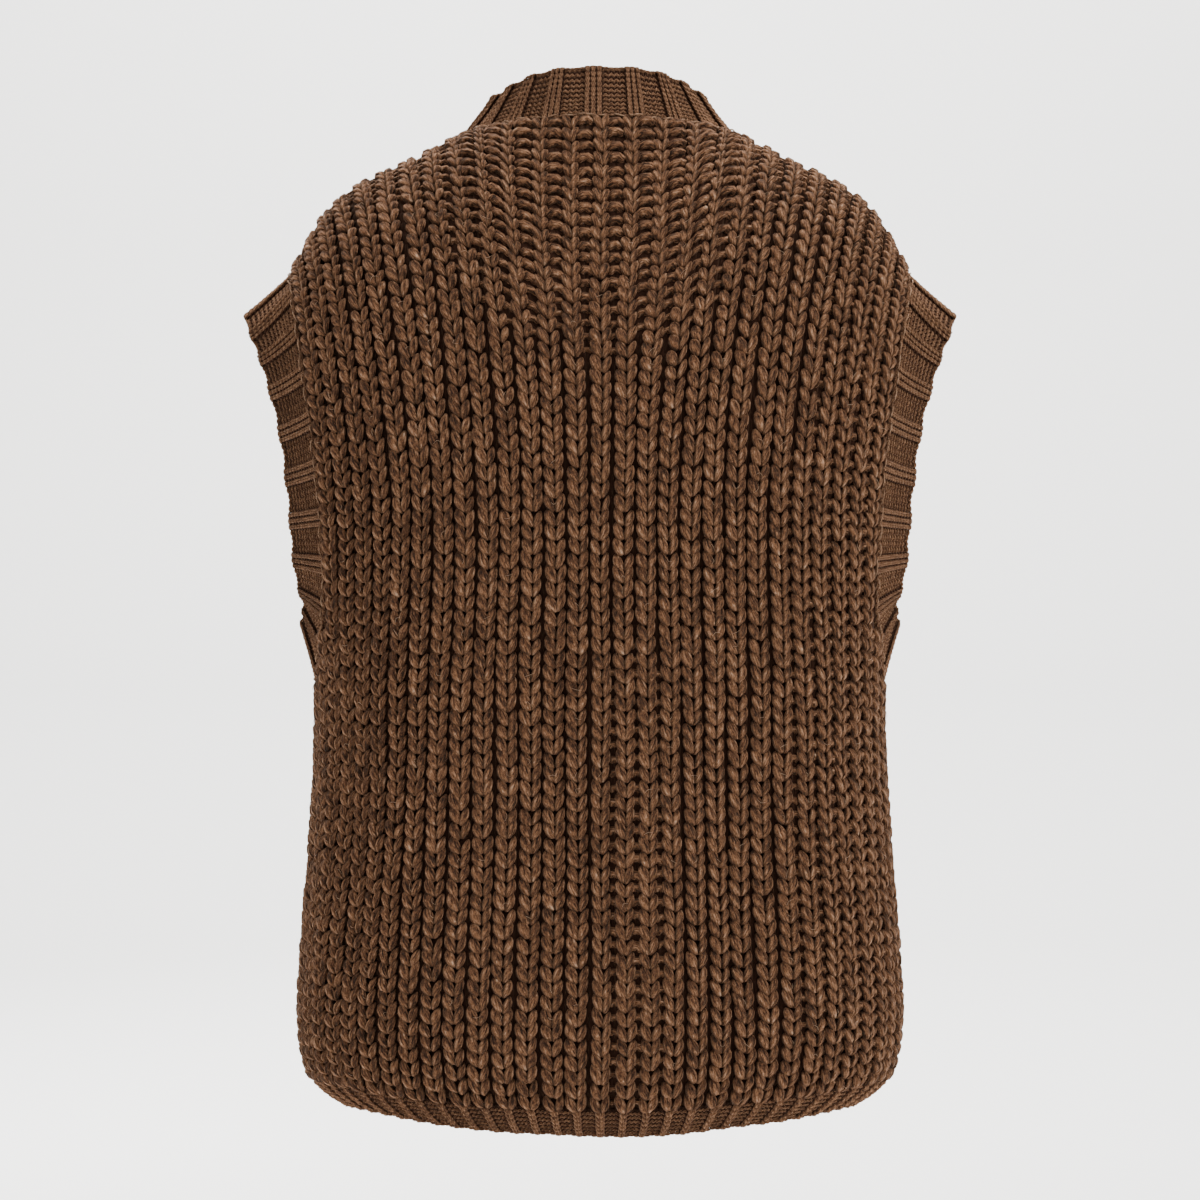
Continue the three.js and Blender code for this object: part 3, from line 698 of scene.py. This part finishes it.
def knit_ground(name, dark, light, painted_gap_shade):
    """The knitted wool-blend ground. Inside it shows small matt loops in rows. Outside, the same yarn lies
    far down in the gaps between the stitches, and it is given one flat dark colour there, painted shade."""
    material, tree = new_material(name)
    knit = add(tree, "SeparateXYZ", add(tree, "Attribute", attribute_name="knit").outputs["Vector"])
    column, row, purl = knit.outputs
    share = add(tree, "Math", column, operation="FRACT")
    across = add(tree, "Math", share, 0.5, operation="SUBTRACT")
    size = add(tree, "Math", across, operation="ABSOLUTE")
    lean = add(tree, "Math", size, 0.9, row, operation="MULTIPLY_ADD")
    square = add(tree, "Math", size, size, operation="MULTIPLY")
    arch = add(tree, "Math", square, -1.6, row, operation="MULTIPLY_ADD")
    loops = []
    for place in (lean, arch):
        turn = add(tree, "Math", place, math.pi, operation="MULTIPLY")
        wave = add(tree, "Math", turn, operation="SINE")
        loops.append(add(tree, "Math", wave, operation="ABSOLUTE"))
    angle = add(tree, "Math", across, math.pi, operation="MULTIPLY")
    swell = add(tree, "Math", angle, operation="COSINE")
    parting = add(tree, "Math", size, 8.0, operation="MULTIPLY")
    parted = add(tree, "Math", parting, 1.0, operation="MINIMUM")
    leg = add(tree, "Math", swell, parted, operation="MULTIPLY")
    vees = add(tree, "Math", loops[0], leg, operation="MULTIPLY")
    relief = add(tree, "MixRGB", purl, vees, loops[1])
    fuzz = add(tree, "TexNoise", add(tree, "NewGeometry"), Scale=700.0, Detail=3.0, Roughness=0.7)
    height = add(tree, "Math", fuzz, 0.25, relief, operation="MULTIPLY_ADD")
    # The colour follows the loops' relief: darker where they lie low, painted shade between the loops, with
    # the fuzz as a random tone.
    tone = add(tree, "Math", relief, 0.7, operation="MULTIPLY")
    tone = add(tree, "Math", fuzz, 0.3, tone, operation="MULTIPLY_ADD")
    ramp = add(tree, "ValToRGB", tone)
    set_stops(ramp, (0.1, dark), (0.85, light))
    inside = add(tree, "SeparateXYZ", add(tree, "Attribute", attribute_name="inside").outputs["Vector"])
    # The outer face gets one flat dark colour, painted shade for the gaps between the stitches; the inner
    # face gets the loops.
    colour = add(tree, "MixRGB", inside, linear(painted_gap_shade), ramp)
    bump = add(tree, "Bump", Strength=1.0, Distance=0.0015, Height=height)
    shader = add(
        tree,
        "BsdfPrincipled",
        Base_Color=colour,
        Roughness=0.95,
        Normal=bump,
        Sheen_Weight=0.2,
        Sheen_Tint=linear(WOOL_SHEEN),
        Specular_IOR_Level=0.1,
    )
    add(tree, "OutputMaterial", shader)
    return material


# The last colour of each ground is the painted shade of its outer face, seen in the gaps between the
# stitches.
chunky_ground = knit_ground("chunky knit ground", "#1a0e07", "#704c31", "#2e1b12")
rib_ground = knit_ground("fine rib ground", "#1a0e07", "#664630", "#342016")

# A thin strand's path and its thickness along it
FINE_TIMES = np.array([0, 0.2, 0.5, 0.8, 1])
FINE_REACH = 2 * FINE_TIMES - 1
FINE_FULL = np.array([0, 0.8, 1, 0.8, 0])

# The two panels: knit wales of large stitches over a ribbed wall

# One leg of a V stitch, out from the middle of its wale: across in mm, along in rows, height and radius in mm
LEG = np.array([
    (0.5, -0.64, -4.8, 0),
    (1.1, -0.46, -3.1, 1.8),
    (2.15, -0.15, -2.05, 2.5),
    (3.1, 0.16, -1.85, 2.6),
    (3.7, 0.42, -2.6, 2.2),
    (4.0, 0.62, -4.1, 1.4),
    (4.0, 0.74, -5.2, 0),
])
# The same where the knit is stretched open: slimmer and more upright
LEG_OPEN = np.array([
    (0.3, -0.62, -4.2, 0),
    (0.6, -0.42, -2.6, 1.7),
    (1.2, -0.14, -1.6, 2.15),
    (2.0, 0.17, -1.5, 2.2),
    (2.55, 0.38, -2.0, 1.95),
    (2.85, 0.56, -2.8, 1.3),
    (2.85, 0.66, -3.9, 0),
])
LAST_WALE = 17
LEG_FLATNESS = 0.82
LEG_UNLIKE = 0.1  # how much wider the left leg is than the mean, and the right one slimmer
LEG_SHIFT = 0.35  # in mm, by which the slimmer leg lies further out
WALE_MM = 12.4
WIDTH_SHAKE, ACROSS_SHAKE, ALONG_SHAKE, TILT_SHAKE, HEIGHT_SHAKE = 0.06, 0.2, 0.04, 0.02, 0.22
WALE_SWAY = 0.035  # in wales
BAR_SHOWS = 0.12  # share of openness above which a purl loop is drawn
BAR_INSET = 3.7  # in mm, from the middle of a wale to the end of the loop beside it
BAR_HEIGHT, BAR_LIFT = -4.9, 2.2  # in mm, for knit that is closed, and how much more when it is open
BAR_RADIUS, BAR_SWELL = 1.75, 1.1
BAR_DROP = 1.3  # in mm, how much lower its ends lie
BAR_TIMES = np.array([-1, -0.78, -0.3, 0.3, 0.78, 1])
BAR_FULL = np.array([0, 0.88, 1.02, 1.02, 0.88, 0])
OPEN_FROM, OPEN_TO = 13.7, 16.4  # wale spacing in mm, where the purl loops begin to show and lie fully open
# Places where the knit lies open and its purl loops show: wale, level, reach in wales and levels, share
OPEN = {
    "back": [(-1.5, 0.2, 1.6, 0.22, 0.5), (-13, 0.35, 4, 0.5, 0.6)],
    "front": [(2.5, 0.2, 1.8, 0.3, 0.55), (12, 0.35, 3.5, 0.4, 0.6)],
}


def wale_spacing(wales, levels, panel):
    """Millimetres from wale to wale, evened out over the wales beside each place."""
    return (cloth[panel].spacing(wales - 0.8, levels)[0] + cloth[panel].spacing(wales + 0.8, levels)[0]) / 2


def openness(wales, levels, panel):
    share = np.clip((wale_spacing(wales, levels, panel) - OPEN_FROM) / (OPEN_TO - OPEN_FROM), 0, 1)
    for wale, at, reach, tall, much in OPEN[panel]:
        share = share + much * np.exp(-(((wales - wale) / reach) ** 2) - ((levels - at) / tall) ** 2)
    return np.clip(share, 0, 1)


def stitch_rows(wale, panel):
    """The levels of a wale's stitches and the length of one row of it, from the hem seam to its top."""
    if abs(wale) > ARMHOLE_WALE:
        top = lower_tops(np.array([float(wale)]))[0]
        count = round(top / ROW)
        return (np.arange(count) + 0.5) * top / count, np.full(count, top / count)
    top = end_levels(np.array([float(wale)]), panel)[0]
    plain = math.floor(LEVEL_YOKE / ROW)
    start = plain * ROW
    count = round((top - start) / ROW)
    step = (top - start) / count
    low = (np.arange(plain) + 0.5) * ROW
    high = start + (np.arange(count) + 0.5) * step
    return np.concatenate([low, high]), np.concatenate([np.full(plain, ROW), np.full(count, step)])


STRAY_SHARE = 0.12  # of the stitches, those with a loose fibre on them
STRAY_RADIUS, STRAY_HEIGHT = 0.14, 0.4


def stray_fibres(strands, sheet, places):
    """Single pale fibres that have worked loose and lie curled on the stitches, drawn thicker than real."""
    places = places[rng.random(len(places)) < STRAY_SHARE]
    turn, bend = rng.uniform(0, math.pi, (len(places), 1)), rng.normal(0, 1.2, (len(places), 1))
    length = rng.uniform(1.2, 3.2, (len(places), 1))
    along, aside = length * FINE_REACH, bend * FINE_REACH**2
    x = along * np.cos(turn) - aside * np.sin(turn)
    y = along * np.sin(turn) + aside * np.cos(turn)
    h = STRAY_HEIGHT - 0.5 * FINE_REACH**2 + 0 * x
    full = np.broadcast_to(STRAY_RADIUS * FINE_FULL, x.shape)
    strands.lay(sheet, places, np.stack([x, y, h], -1), full, full, 3, pale=1)


def half_wales(hand, stop):
    """The wales of one half of a panel, by whole numbers. The middle one goes with the left half."""
    return range(0, stop) if hand > 0 else range(-LAST_WALE, 0)


def vee_places(panel, hand):
    """Where the V stitches of half a panel lie, each wale swaying a little, and the length of a row there."""
    places, steps = [], []
    for wale in half_wales(hand, LAST_WALE + 1):
        levels, rows = stitch_rows(wale, panel)
        sway = WALE_SWAY * np.sin(levels * rng.uniform(14, 26) + rng.uniform(0, 6.28))
        places.append(np.stack([wale + sway, levels], -1))
        steps.append(rows)
    return np.concatenate(places), np.concatenate(steps)


def vees(strands, panel, places, steps):
    """The V stitches: two legs each, slimmer and more upright where the knit is stretched open."""
    sheet = cloth[panel]
    row_mm = (steps * sheet.spacing(places[:, 0], places[:, 1])[1])[:, None]
    open_share = openness(places[:, 0], places[:, 1], panel)[:, None, None]
    leg = LEG * (1 - open_share) + LEG_OPEN * open_share
    stretch = np.clip(wale_spacing(places[:, 0], places[:, 1], panel) / WALE_MM, 0.9, 1.15)[:, None]
    wide_side = FACING[panel]
    for sign in (-1, 1):
        shake = rng.normal(0, 1, (len(places), 5))
        full = leg[..., 3] * (1 + LEG_UNLIKE * sign * wide_side + WIDTH_SHAKE * shake[:, :1])
        x = sign * leg[..., 0] * stretch - LEG_SHIFT * wide_side + ACROSS_SHAKE * shake[:, 1:2]
        tilt = TILT_SHAKE * shake[:, 4:5] * leg[..., 0]
        y = (leg[..., 1] + ALONG_SHAKE * shake[:, 2:3] + tilt) * row_mm
        h = leg[..., 2] + HEIGHT_SHAKE * shake[:, 3:4]
        strands.lay(sheet, places, np.stack([x, y, h], -1), full * stretch**0.5, full * LEG_FLATNESS, 6)


def purl_bars(strands, panel, hand):
    """The purl loops between the wales, as plump bumps where the knit is open enough to show them."""
    sheet = cloth[panel]
    places, steps = [], []
    for wale in half_wales(hand, LAST_WALE):
        levels, rows = stitch_rows(wale + (1 if wale >= 0 else 0), panel)
        places.append(np.stack([np.full_like(levels, wale + 0.5), levels], -1))
        steps.append(rows)
    places, steps = np.concatenate(places), np.concatenate(steps)
    shows = openness(places[:, 0], places[:, 1], panel) > BAR_SHOWS
    places, steps = places[shows], steps[shows]
    across, along = sheet.spacing(places[:, 0], places[:, 1])
    open_share = openness(places[:, 0], places[:, 1], panel)[:, None]
    shake = rng.normal(0, 1, (len(places), 6))
    reach = across[:, None] / 2 - BAR_INSET + 0.5 * open_share + 0.25 * shake[:, :1]
    x = BAR_TIMES * reach + 0.3 * shake[:, 5:]
    y = (steps * along)[:, None] * (0.2 - (0.4 + 0.06 * shake[:, 3:4]) * BAR_TIMES**2)
    y = y + 0.4 * shake[:, 1:2] + 0.4 * shake[:, 4:5] * BAR_TIMES
    h = BAR_HEIGHT + BAR_LIFT * open_share - BAR_DROP * BAR_TIMES**2 + 0.25 * shake[:, 2:3]
    full = BAR_FULL * (BAR_RADIUS + BAR_SWELL * open_share) * (1 + 0.08 * shake[:, 4:5])
    strands.lay(sheet, places, np.stack([x, y, h], -1), full, full, 6)


def panel_stitches(panel, hand):
    """All the yarn of half a panel."""
    strands = Strands()
    places, steps = vee_places(panel, hand)
    vees(strands, panel, places, steps)
    purl_bars(strands, panel, hand)
    stray_fibres(strands, cloth[panel], places)
    name = f"{panel}_stitches_{'left' if hand > 0 else 'right'}"
    return strands.piece(name, chunky_yarn)


SEAM_LAP = 0.16  # in wales, by which the back's wall passes the side seam
LOW_STEPS, HIGH_STEPS = 20, 18  # of a panel's wall, below the top of the side seams and above it
PANEL_OUTER, PANEL_LIFT = -4.8, 1.3  # in mm, for knit that is closed, and how much more when it is open
PANEL_INNER, INNER_RIB = -6.0, 0.4


def wave(turns):
    """A rib's rise and fall, 1 on its ridge and -1 in the furrow."""
    return np.cos(2 * math.pi * turns)


def panel_columns(panel):
    """Wales for the columns of a wall. The back's close the narrow gap at the side seams."""
    a = wale_grid()
    if panel == "back":
        a[[0, -1]] *= 1 + SEAM_LAP / SIDE_WALE
    return a


def panel_wall(panel):
    """The ribbed ground of a panel, from the hem seam to the neck, cut out at the armholes."""
    a = panel_columns(panel)
    inside = np.abs(a) <= ARMHOLE_WALE + 0.01
    low = np.linspace(0, 1, LOW_STEPS + 1)
    high = np.linspace(0, 1, HIGH_STEPS + 1)[1:]
    foot = np.where(inside, LEVEL_STRAIGHT, lower_tops(a))
    top = end_levels(np.clip(a, -ARMHOLE_WALE, ARMHOLE_WALE), panel)
    b = np.concatenate([foot[:, None] * low, LEVEL_STRAIGHT + (top - LEVEL_STRAIGHT)[:, None] * high], 1)
    there = np.concatenate([np.ones((len(a), len(low)), bool), np.repeat(inside[:, None], len(high), 1)], 1)
    rib = wave(a)[:, None]
    outer = PANEL_OUTER + PANEL_LIFT * openness(np.broadcast_to(a[:, None], b.shape), b, panel)
    inner = PANEL_INNER + INNER_RIB * rib
    knit = knit_numbers(2 * a[:, None] + 0.5, b / ROW, rib)
    return sheet_wall(f"{panel}_cloth", cloth[panel], a, b, there, outer, inner, knit, chunky_ground)


# Fine rib: three knit columns of small V stitches, then four purl columns lying lower, over and over
COLUMNS = 7
KNIT_COLUMNS = 3
RIB_SHIFT = 0.25  # in columns, so that the knit ones lie on the solid's ridge
RIDGE = 0.25  # of a rib, where its ridge lies
KNIT_HEIGHT, KNIT_RADIUS = 1.8, 0.27  # in mm, and as a share of a column
PURL_HEIGHT, PURL_RADIUS = -0.2, 0.36  # in mm, and as a share of a row


def grid_places(a, b):
    return np.stack(np.meshgrid(a, b, indexing="ij"), -1).reshape(-1, 2)


def fine_knit(strands, sheet, places, column_mm, row_mm, height):
    """Small V stitches, two strands each, that run on into smooth cords. height is that of their crest above
    the sheet, one or one for each place."""
    for sign in (-1, 1):
        shake = rng.normal(0, 1, (len(places), 3))
        x = sign * column_mm * (0.09 + 0.11 * FINE_TIMES) + 0.05 * shake[:, :1]
        y = row_mm * (-0.75 + 1.6 * FINE_TIMES) + 0.06 * shake[:, 1:2]
        radius = column_mm * KNIT_RADIUS
        h = height - radius - 0.5 * FINE_REACH**2 + 0.06 * shake[:, 2:]
        path = np.stack([x, y, h], -1)
        full = FINE_FULL * radius
        strands.lay(sheet, places, path, full, full, 4)


def fine_purl(strands, sheet, places, column_mm, row_mm, height):
    """Small arched purl loops side by side."""
    shake = rng.normal(0, 1, (len(places), 3))
    x = column_mm * 0.62 * FINE_REACH + 0.06 * shake[:, :1]
    y = row_mm * (0.35 - 0.8 * FINE_REACH**2) + 0.08 * shake[:, 1:2]
    radius = row_mm * PURL_RADIUS + 0 * column_mm
    h = height - radius - 0.35 * FINE_REACH**2 + 0.08 * shake[:, 2:]
    full = FINE_FULL * radius
    strands.lay(sheet, places, np.stack([x, y, h], -1), full, full, 4)


def edge_chain(strands, sheet, places, column_mm, radius, height, rise):
    """Short strands lying end to end along an edge, each at its own height and lifted out past the edge."""
    x = column_mm * 0.66 * FINE_REACH
    y = 0.25 * radius * (1 - FINE_REACH**2) + rise
    path = np.stack(np.broadcast_arrays(x, y, height - 0.5 * FINE_REACH**2), -1)
    full = np.broadcast_to(FINE_FULL * radius, x.shape)
    strands.lay(sheet, places, path, full, full, 4)


SEWING_MM, SEWING_RADIUS, SEWING_HEIGHT = 9, 0.45, 2.6


def sewing(strands, sheet, around_mm):
    """Loose sewing stitches along a band's seam."""
    count = round(around_mm / SEWING_MM)
    places = grid_places((np.arange(count) + 0.5) / count, np.array([0.01]))
    shake = rng.normal(0, 1, (count, 4))
    x = SEWING_MM * (0.5 + 0.1 * shake[:, :1]) * FINE_REACH
    y = 0.5 * shake[:, 1:2] + 0.7 * shake[:, 2:3] * FINE_REACH
    h = SEWING_HEIGHT - 1.2 * FINE_REACH**2 + 0.3 * shake[:, 3:]
    full = np.broadcast_to(SEWING_RADIUS * FINE_FULL, x.shape)
    # pale=0.5 draws the sewing lighter than its yarn is, a painted highlight where it stands raised.
    strands.lay(sheet, places, np.stack([x, y, h], -1), full, full, 4, pale=0.5)


# Chains along a band's seam and its edge: share of the width, radius, height, lift on the ribs
BAND_CHAINS = ((0.015, 0.9, 0.9, 0.0), (0.985, 1.15, -0.2, 0.55))


def band_stitches(name, sheet, band):
    strands = Strands()
    count = band["ribs"] * COLUMNS
    shares = (np.arange(count) + 0.5 + RIB_SHIFT) / count
    knit = np.arange(count) % COLUMNS < KNIT_COLUMNS
    rows = (np.arange(band["rows"]) + 0.5) / band["rows"]
    row_mm = band["width"] / band["rows"]
    for chosen, lay, height in ((knit, fine_knit, KNIT_HEIGHT), (~knit, fine_purl, PURL_HEIGHT)):
        places = grid_places(shares[chosen], rows)
        column_mm = sheet.widths(places) / count
        lay(strands, sheet, places, column_mm, row_mm, height)
    on_rib = wave(shares * band["ribs"] - RIDGE)[:, None]
    for edge, radius, height, relief in BAND_CHAINS:
        places = grid_places(shares, np.array([edge]))
        column_mm = sheet.widths(places) / count
        edge_chain(strands, sheet, places, column_mm, radius, height + relief * on_rib, relief * on_rib)
    sewing(strands, sheet, band["around"])
    return strands.piece(name, rib_yarn)


BAND_FOOT, BAND_CELLS = -0.05, 8  # of a band's wall: share of the width where it starts, and cells across
BAND_OUTER, BAND_RIB = -0.5, 0.9
BAND_INNER = -2.2


def band_wall(name, sheet, band):
    """The ribbed ground of a band."""
    count = band["ribs"] * COLUMNS
    a = np.arange(count * 2) / (count * 2)
    b = np.tile(np.linspace(BAND_FOOT, 1, BAND_CELLS + 1), (len(a), 1))
    rib = wave(a * band["ribs"] - RIDGE)[:, None]
    outer = BAND_OUTER + BAND_RIB * np.clip((rib - 0.55) * 4, -1, 1)
    inner = BAND_INNER + INNER_RIB * rib
    knit = knit_numbers(a[:, None] * count, b * band["rows"], rib)
    there = np.ones(b.shape, bool)
    return sheet_wall(name, sheet, a, b, there, outer, inner, knit, rib_ground)


HEM_ROWS = 6
HEM_KNIT_SHARE = 0.46  # of a wale, the rest is purl
HEM_PURLS = (0.32, 0.5, 0.68)  # where the purl columns lie between two wales
HEM_PURL_SHARE = 0.2  # of a wale, for each
HEM_TOP_HEIGHT = -0.2
HEM_CURL = 2.2  # how far the hem turns in at its edge
HEM_RISE = 1.6  # how much higher the knit wales lie
HEM_CHAIN_RADIUS, HEM_CHAIN_DROP = 1.3, 1.5
HEM_TOP = 0.003  # level where the wall ends, just over the hem seam
HEM_CELLS = 4
HEM_OUTER, HEM_INNER = -2.6, -5.9


def hem_height(levels):
    return HEM_TOP_HEIGHT - HEM_CURL * np.clip(levels / HEM_LEVEL, 0, 1) ** 2


def hem_stitches(panel):
    sheet = cloth[panel]
    strands = Strands()
    step = -HEM_LEVEL / HEM_ROWS
    rows = HEM_LEVEL + (np.arange(HEM_ROWS) + 0.5) * step
    row_mm = step * PATH_LENGTH
    places = grid_places(np.arange(-LAST_WALE, LAST_WALE + 1.0), rows)
    height = hem_height(places[:, 1:])
    fine_knit(strands, sheet, places, sheet.widths(places) * HEM_KNIT_SHARE, row_mm, height)
    purls = np.array([wale + part for wale in range(-LAST_WALE - 1, LAST_WALE + 1) for part in HEM_PURLS])
    purls = purls[np.abs(purls) < SIDE_WALE + (SEAM_LAP if panel == "back" else 0)]
    places = grid_places(purls, rows)
    column_mm = sheet.widths(places) * HEM_PURL_SHARE
    height = hem_height(places[:, 1:]) - HEM_RISE
    fine_purl(strands, sheet, places, column_mm, row_mm, height)
    places = grid_places(wale_grid(), np.array([HEM_LEVEL]))
    column_mm = sheet.widths(places) * WALE_STEP
    height = hem_height(HEM_LEVEL) - HEM_CHAIN_DROP + 0.5 * wave(places[:, :1])
    edge_chain(strands, sheet, places, column_mm, HEM_CHAIN_RADIUS, height, 0)
    return strands.piece(f"hem_stitches_{panel}", rib_yarn)


def hem_wall(panel):
    """The ground of the hem rib."""
    a = panel_columns(panel)
    b = np.tile(np.linspace(HEM_LEVEL, HEM_TOP, HEM_CELLS + 1), (len(a), 1))
    rib = wave(a)[:, None]
    outer = hem_height(b) + HEM_OUTER + 0.6 * rib
    inner = HEM_INNER + 0.3 * rib
    knit = knit_numbers(4 * a[:, None], b / -HEM_LEVEL * HEM_ROWS, rib)
    there = np.ones(b.shape, bool)
    return sheet_wall(f"hem_cloth_{panel}", cloth[panel], a, b, there, outer, inner, knit, rib_ground)


# Camera level with the middle of the vest and straight behind it, as in the photo
CAMERA_DISTANCE = 2.2
MIDDLE = -NECK_POINT_HEIGHT / 1000
FRAME_WIDTH = 0.672  # in metres, at the vest
SENSOR_WIDTH = 36
camera = in_scene("camera", bpy.data.cameras.new("camera"))
camera.location = (0, CAMERA_DISTANCE, MIDDLE)
camera.rotation_euler = (math.pi / 2, 0, math.pi)
camera.data.sensor_width = SENSOR_WIDTH
camera.data.lens = SENSOR_WIDTH * CAMERA_DISTANCE / FRAME_WIDTH
bpy.context.scene.camera = camera

# Pieces: each cut piece gets a wall and its stitches, both laid on the same sheet, and the part's own solid
# is hidden
for panel in ("back", "front"):
    wall = panel_wall(panel)
    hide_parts(panel)
    stitches = [panel_stitches(panel, hand) for hand in (1, -1)]
    hem = hem_wall(panel)
    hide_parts(f"hem_rib_{panel}")
    hem_stitches(panel)
for name, node, sheet, band in (
    ("neckband", "neckband", neck, NECKBAND),
    ("armhole_left", "armhole_band_left", arms["left"], ARMBAND),
    ("armhole_right", "armhole_band_right", arms["right"], ARMBAND),
):
    wall = band_wall(f"{name}_cloth", sheet, band)
    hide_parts(node)
    stitches = band_stitches(f"{name}_stitches", sheet, band)

# Plain pale studio sweep
SWEEP_HALF_WIDTH = 6
SWEEP = [(5, -0.8), (-2, -0.8), (-3, -0.72), (-3.7, -0.4), (-4, 0.3), (-4, 5)]


def studio_sweep():
    points = np.array([(x, y, z) for y, z in SWEEP for x in (-SWEEP_HALF_WIDTH, SWEEP_HALF_WIDTH)], float)
    quads = np.array([(2 * k, 2 * k + 1, 2 * k + 3, 2 * k + 2) for k in range(len(SWEEP) - 1)])
    mesh = bpy.data.meshes.new("studio_sweep")
    mesh.from_pydata(points.tolist(), [], quads.tolist())
    mesh.shade_smooth()
    sweep = in_scene("studio_sweep", mesh)
    material, tree = new_material("matt white paper sweep")
    tooth = add(tree, "TexNoise", Scale=300.0, Detail=2.0)
    bump = add(tree, "Bump", Strength=0.05, Distance=0.001, Height=tooth)
    shader = add(tree, "BsdfPrincipled", Base_Color=linear("#f7f6f4"), Roughness=0.9, Normal=bump)
    add(tree, "OutputMaterial", shader)
    mesh.materials.append(material)


studio_sweep()

# Soft studio light: place, the place it is aimed at, size in metres, watts
ON_VEST = (0, 0, MIDDLE)
ON_SWEEP = (0, -4, MIDDLE)
LIGHTS = [
    ("key", (-1.7, 1.5, 0.9), ON_VEST, 1.5, 50),
    ("fill", (1.9, 1.5, 0.5), ON_VEST, 1.5, 13.5),
    ("top", (0, 0.5, 1.5), ON_VEST, 1.5, 30),
    ("front", (0.9, -1.9, 0.8), ON_VEST, 1.4, 50),
    ("backdrop", (0, -1.6, 2.6), ON_SWEEP, 2.5, 360),
]
WORLD_STRENGTH = 0.32
for name, place, target, size, watts in LIGHTS:
    light = in_scene(name, bpy.data.lights.new(name, "AREA"))
    light.location = place
    light.data.shape = "DISK"
    light.data.size = size
    light.data.energy = watts
    aim = [t - p for t, p in zip(target, place)]
    pitch = math.atan2(math.hypot(aim[0], aim[1]), -aim[2])
    light.rotation_euler = (pitch, 0, math.atan2(aim[1], aim[0]) - math.pi / 2)
world = bpy.data.worlds.new("studio")
bpy.context.scene.world = world
world.use_nodes = True
background = world.node_tree.nodes["Background"]
background.inputs["Color"].default_value = linear("#ffffff")
background.inputs["Strength"].default_value = WORLD_STRENGTH
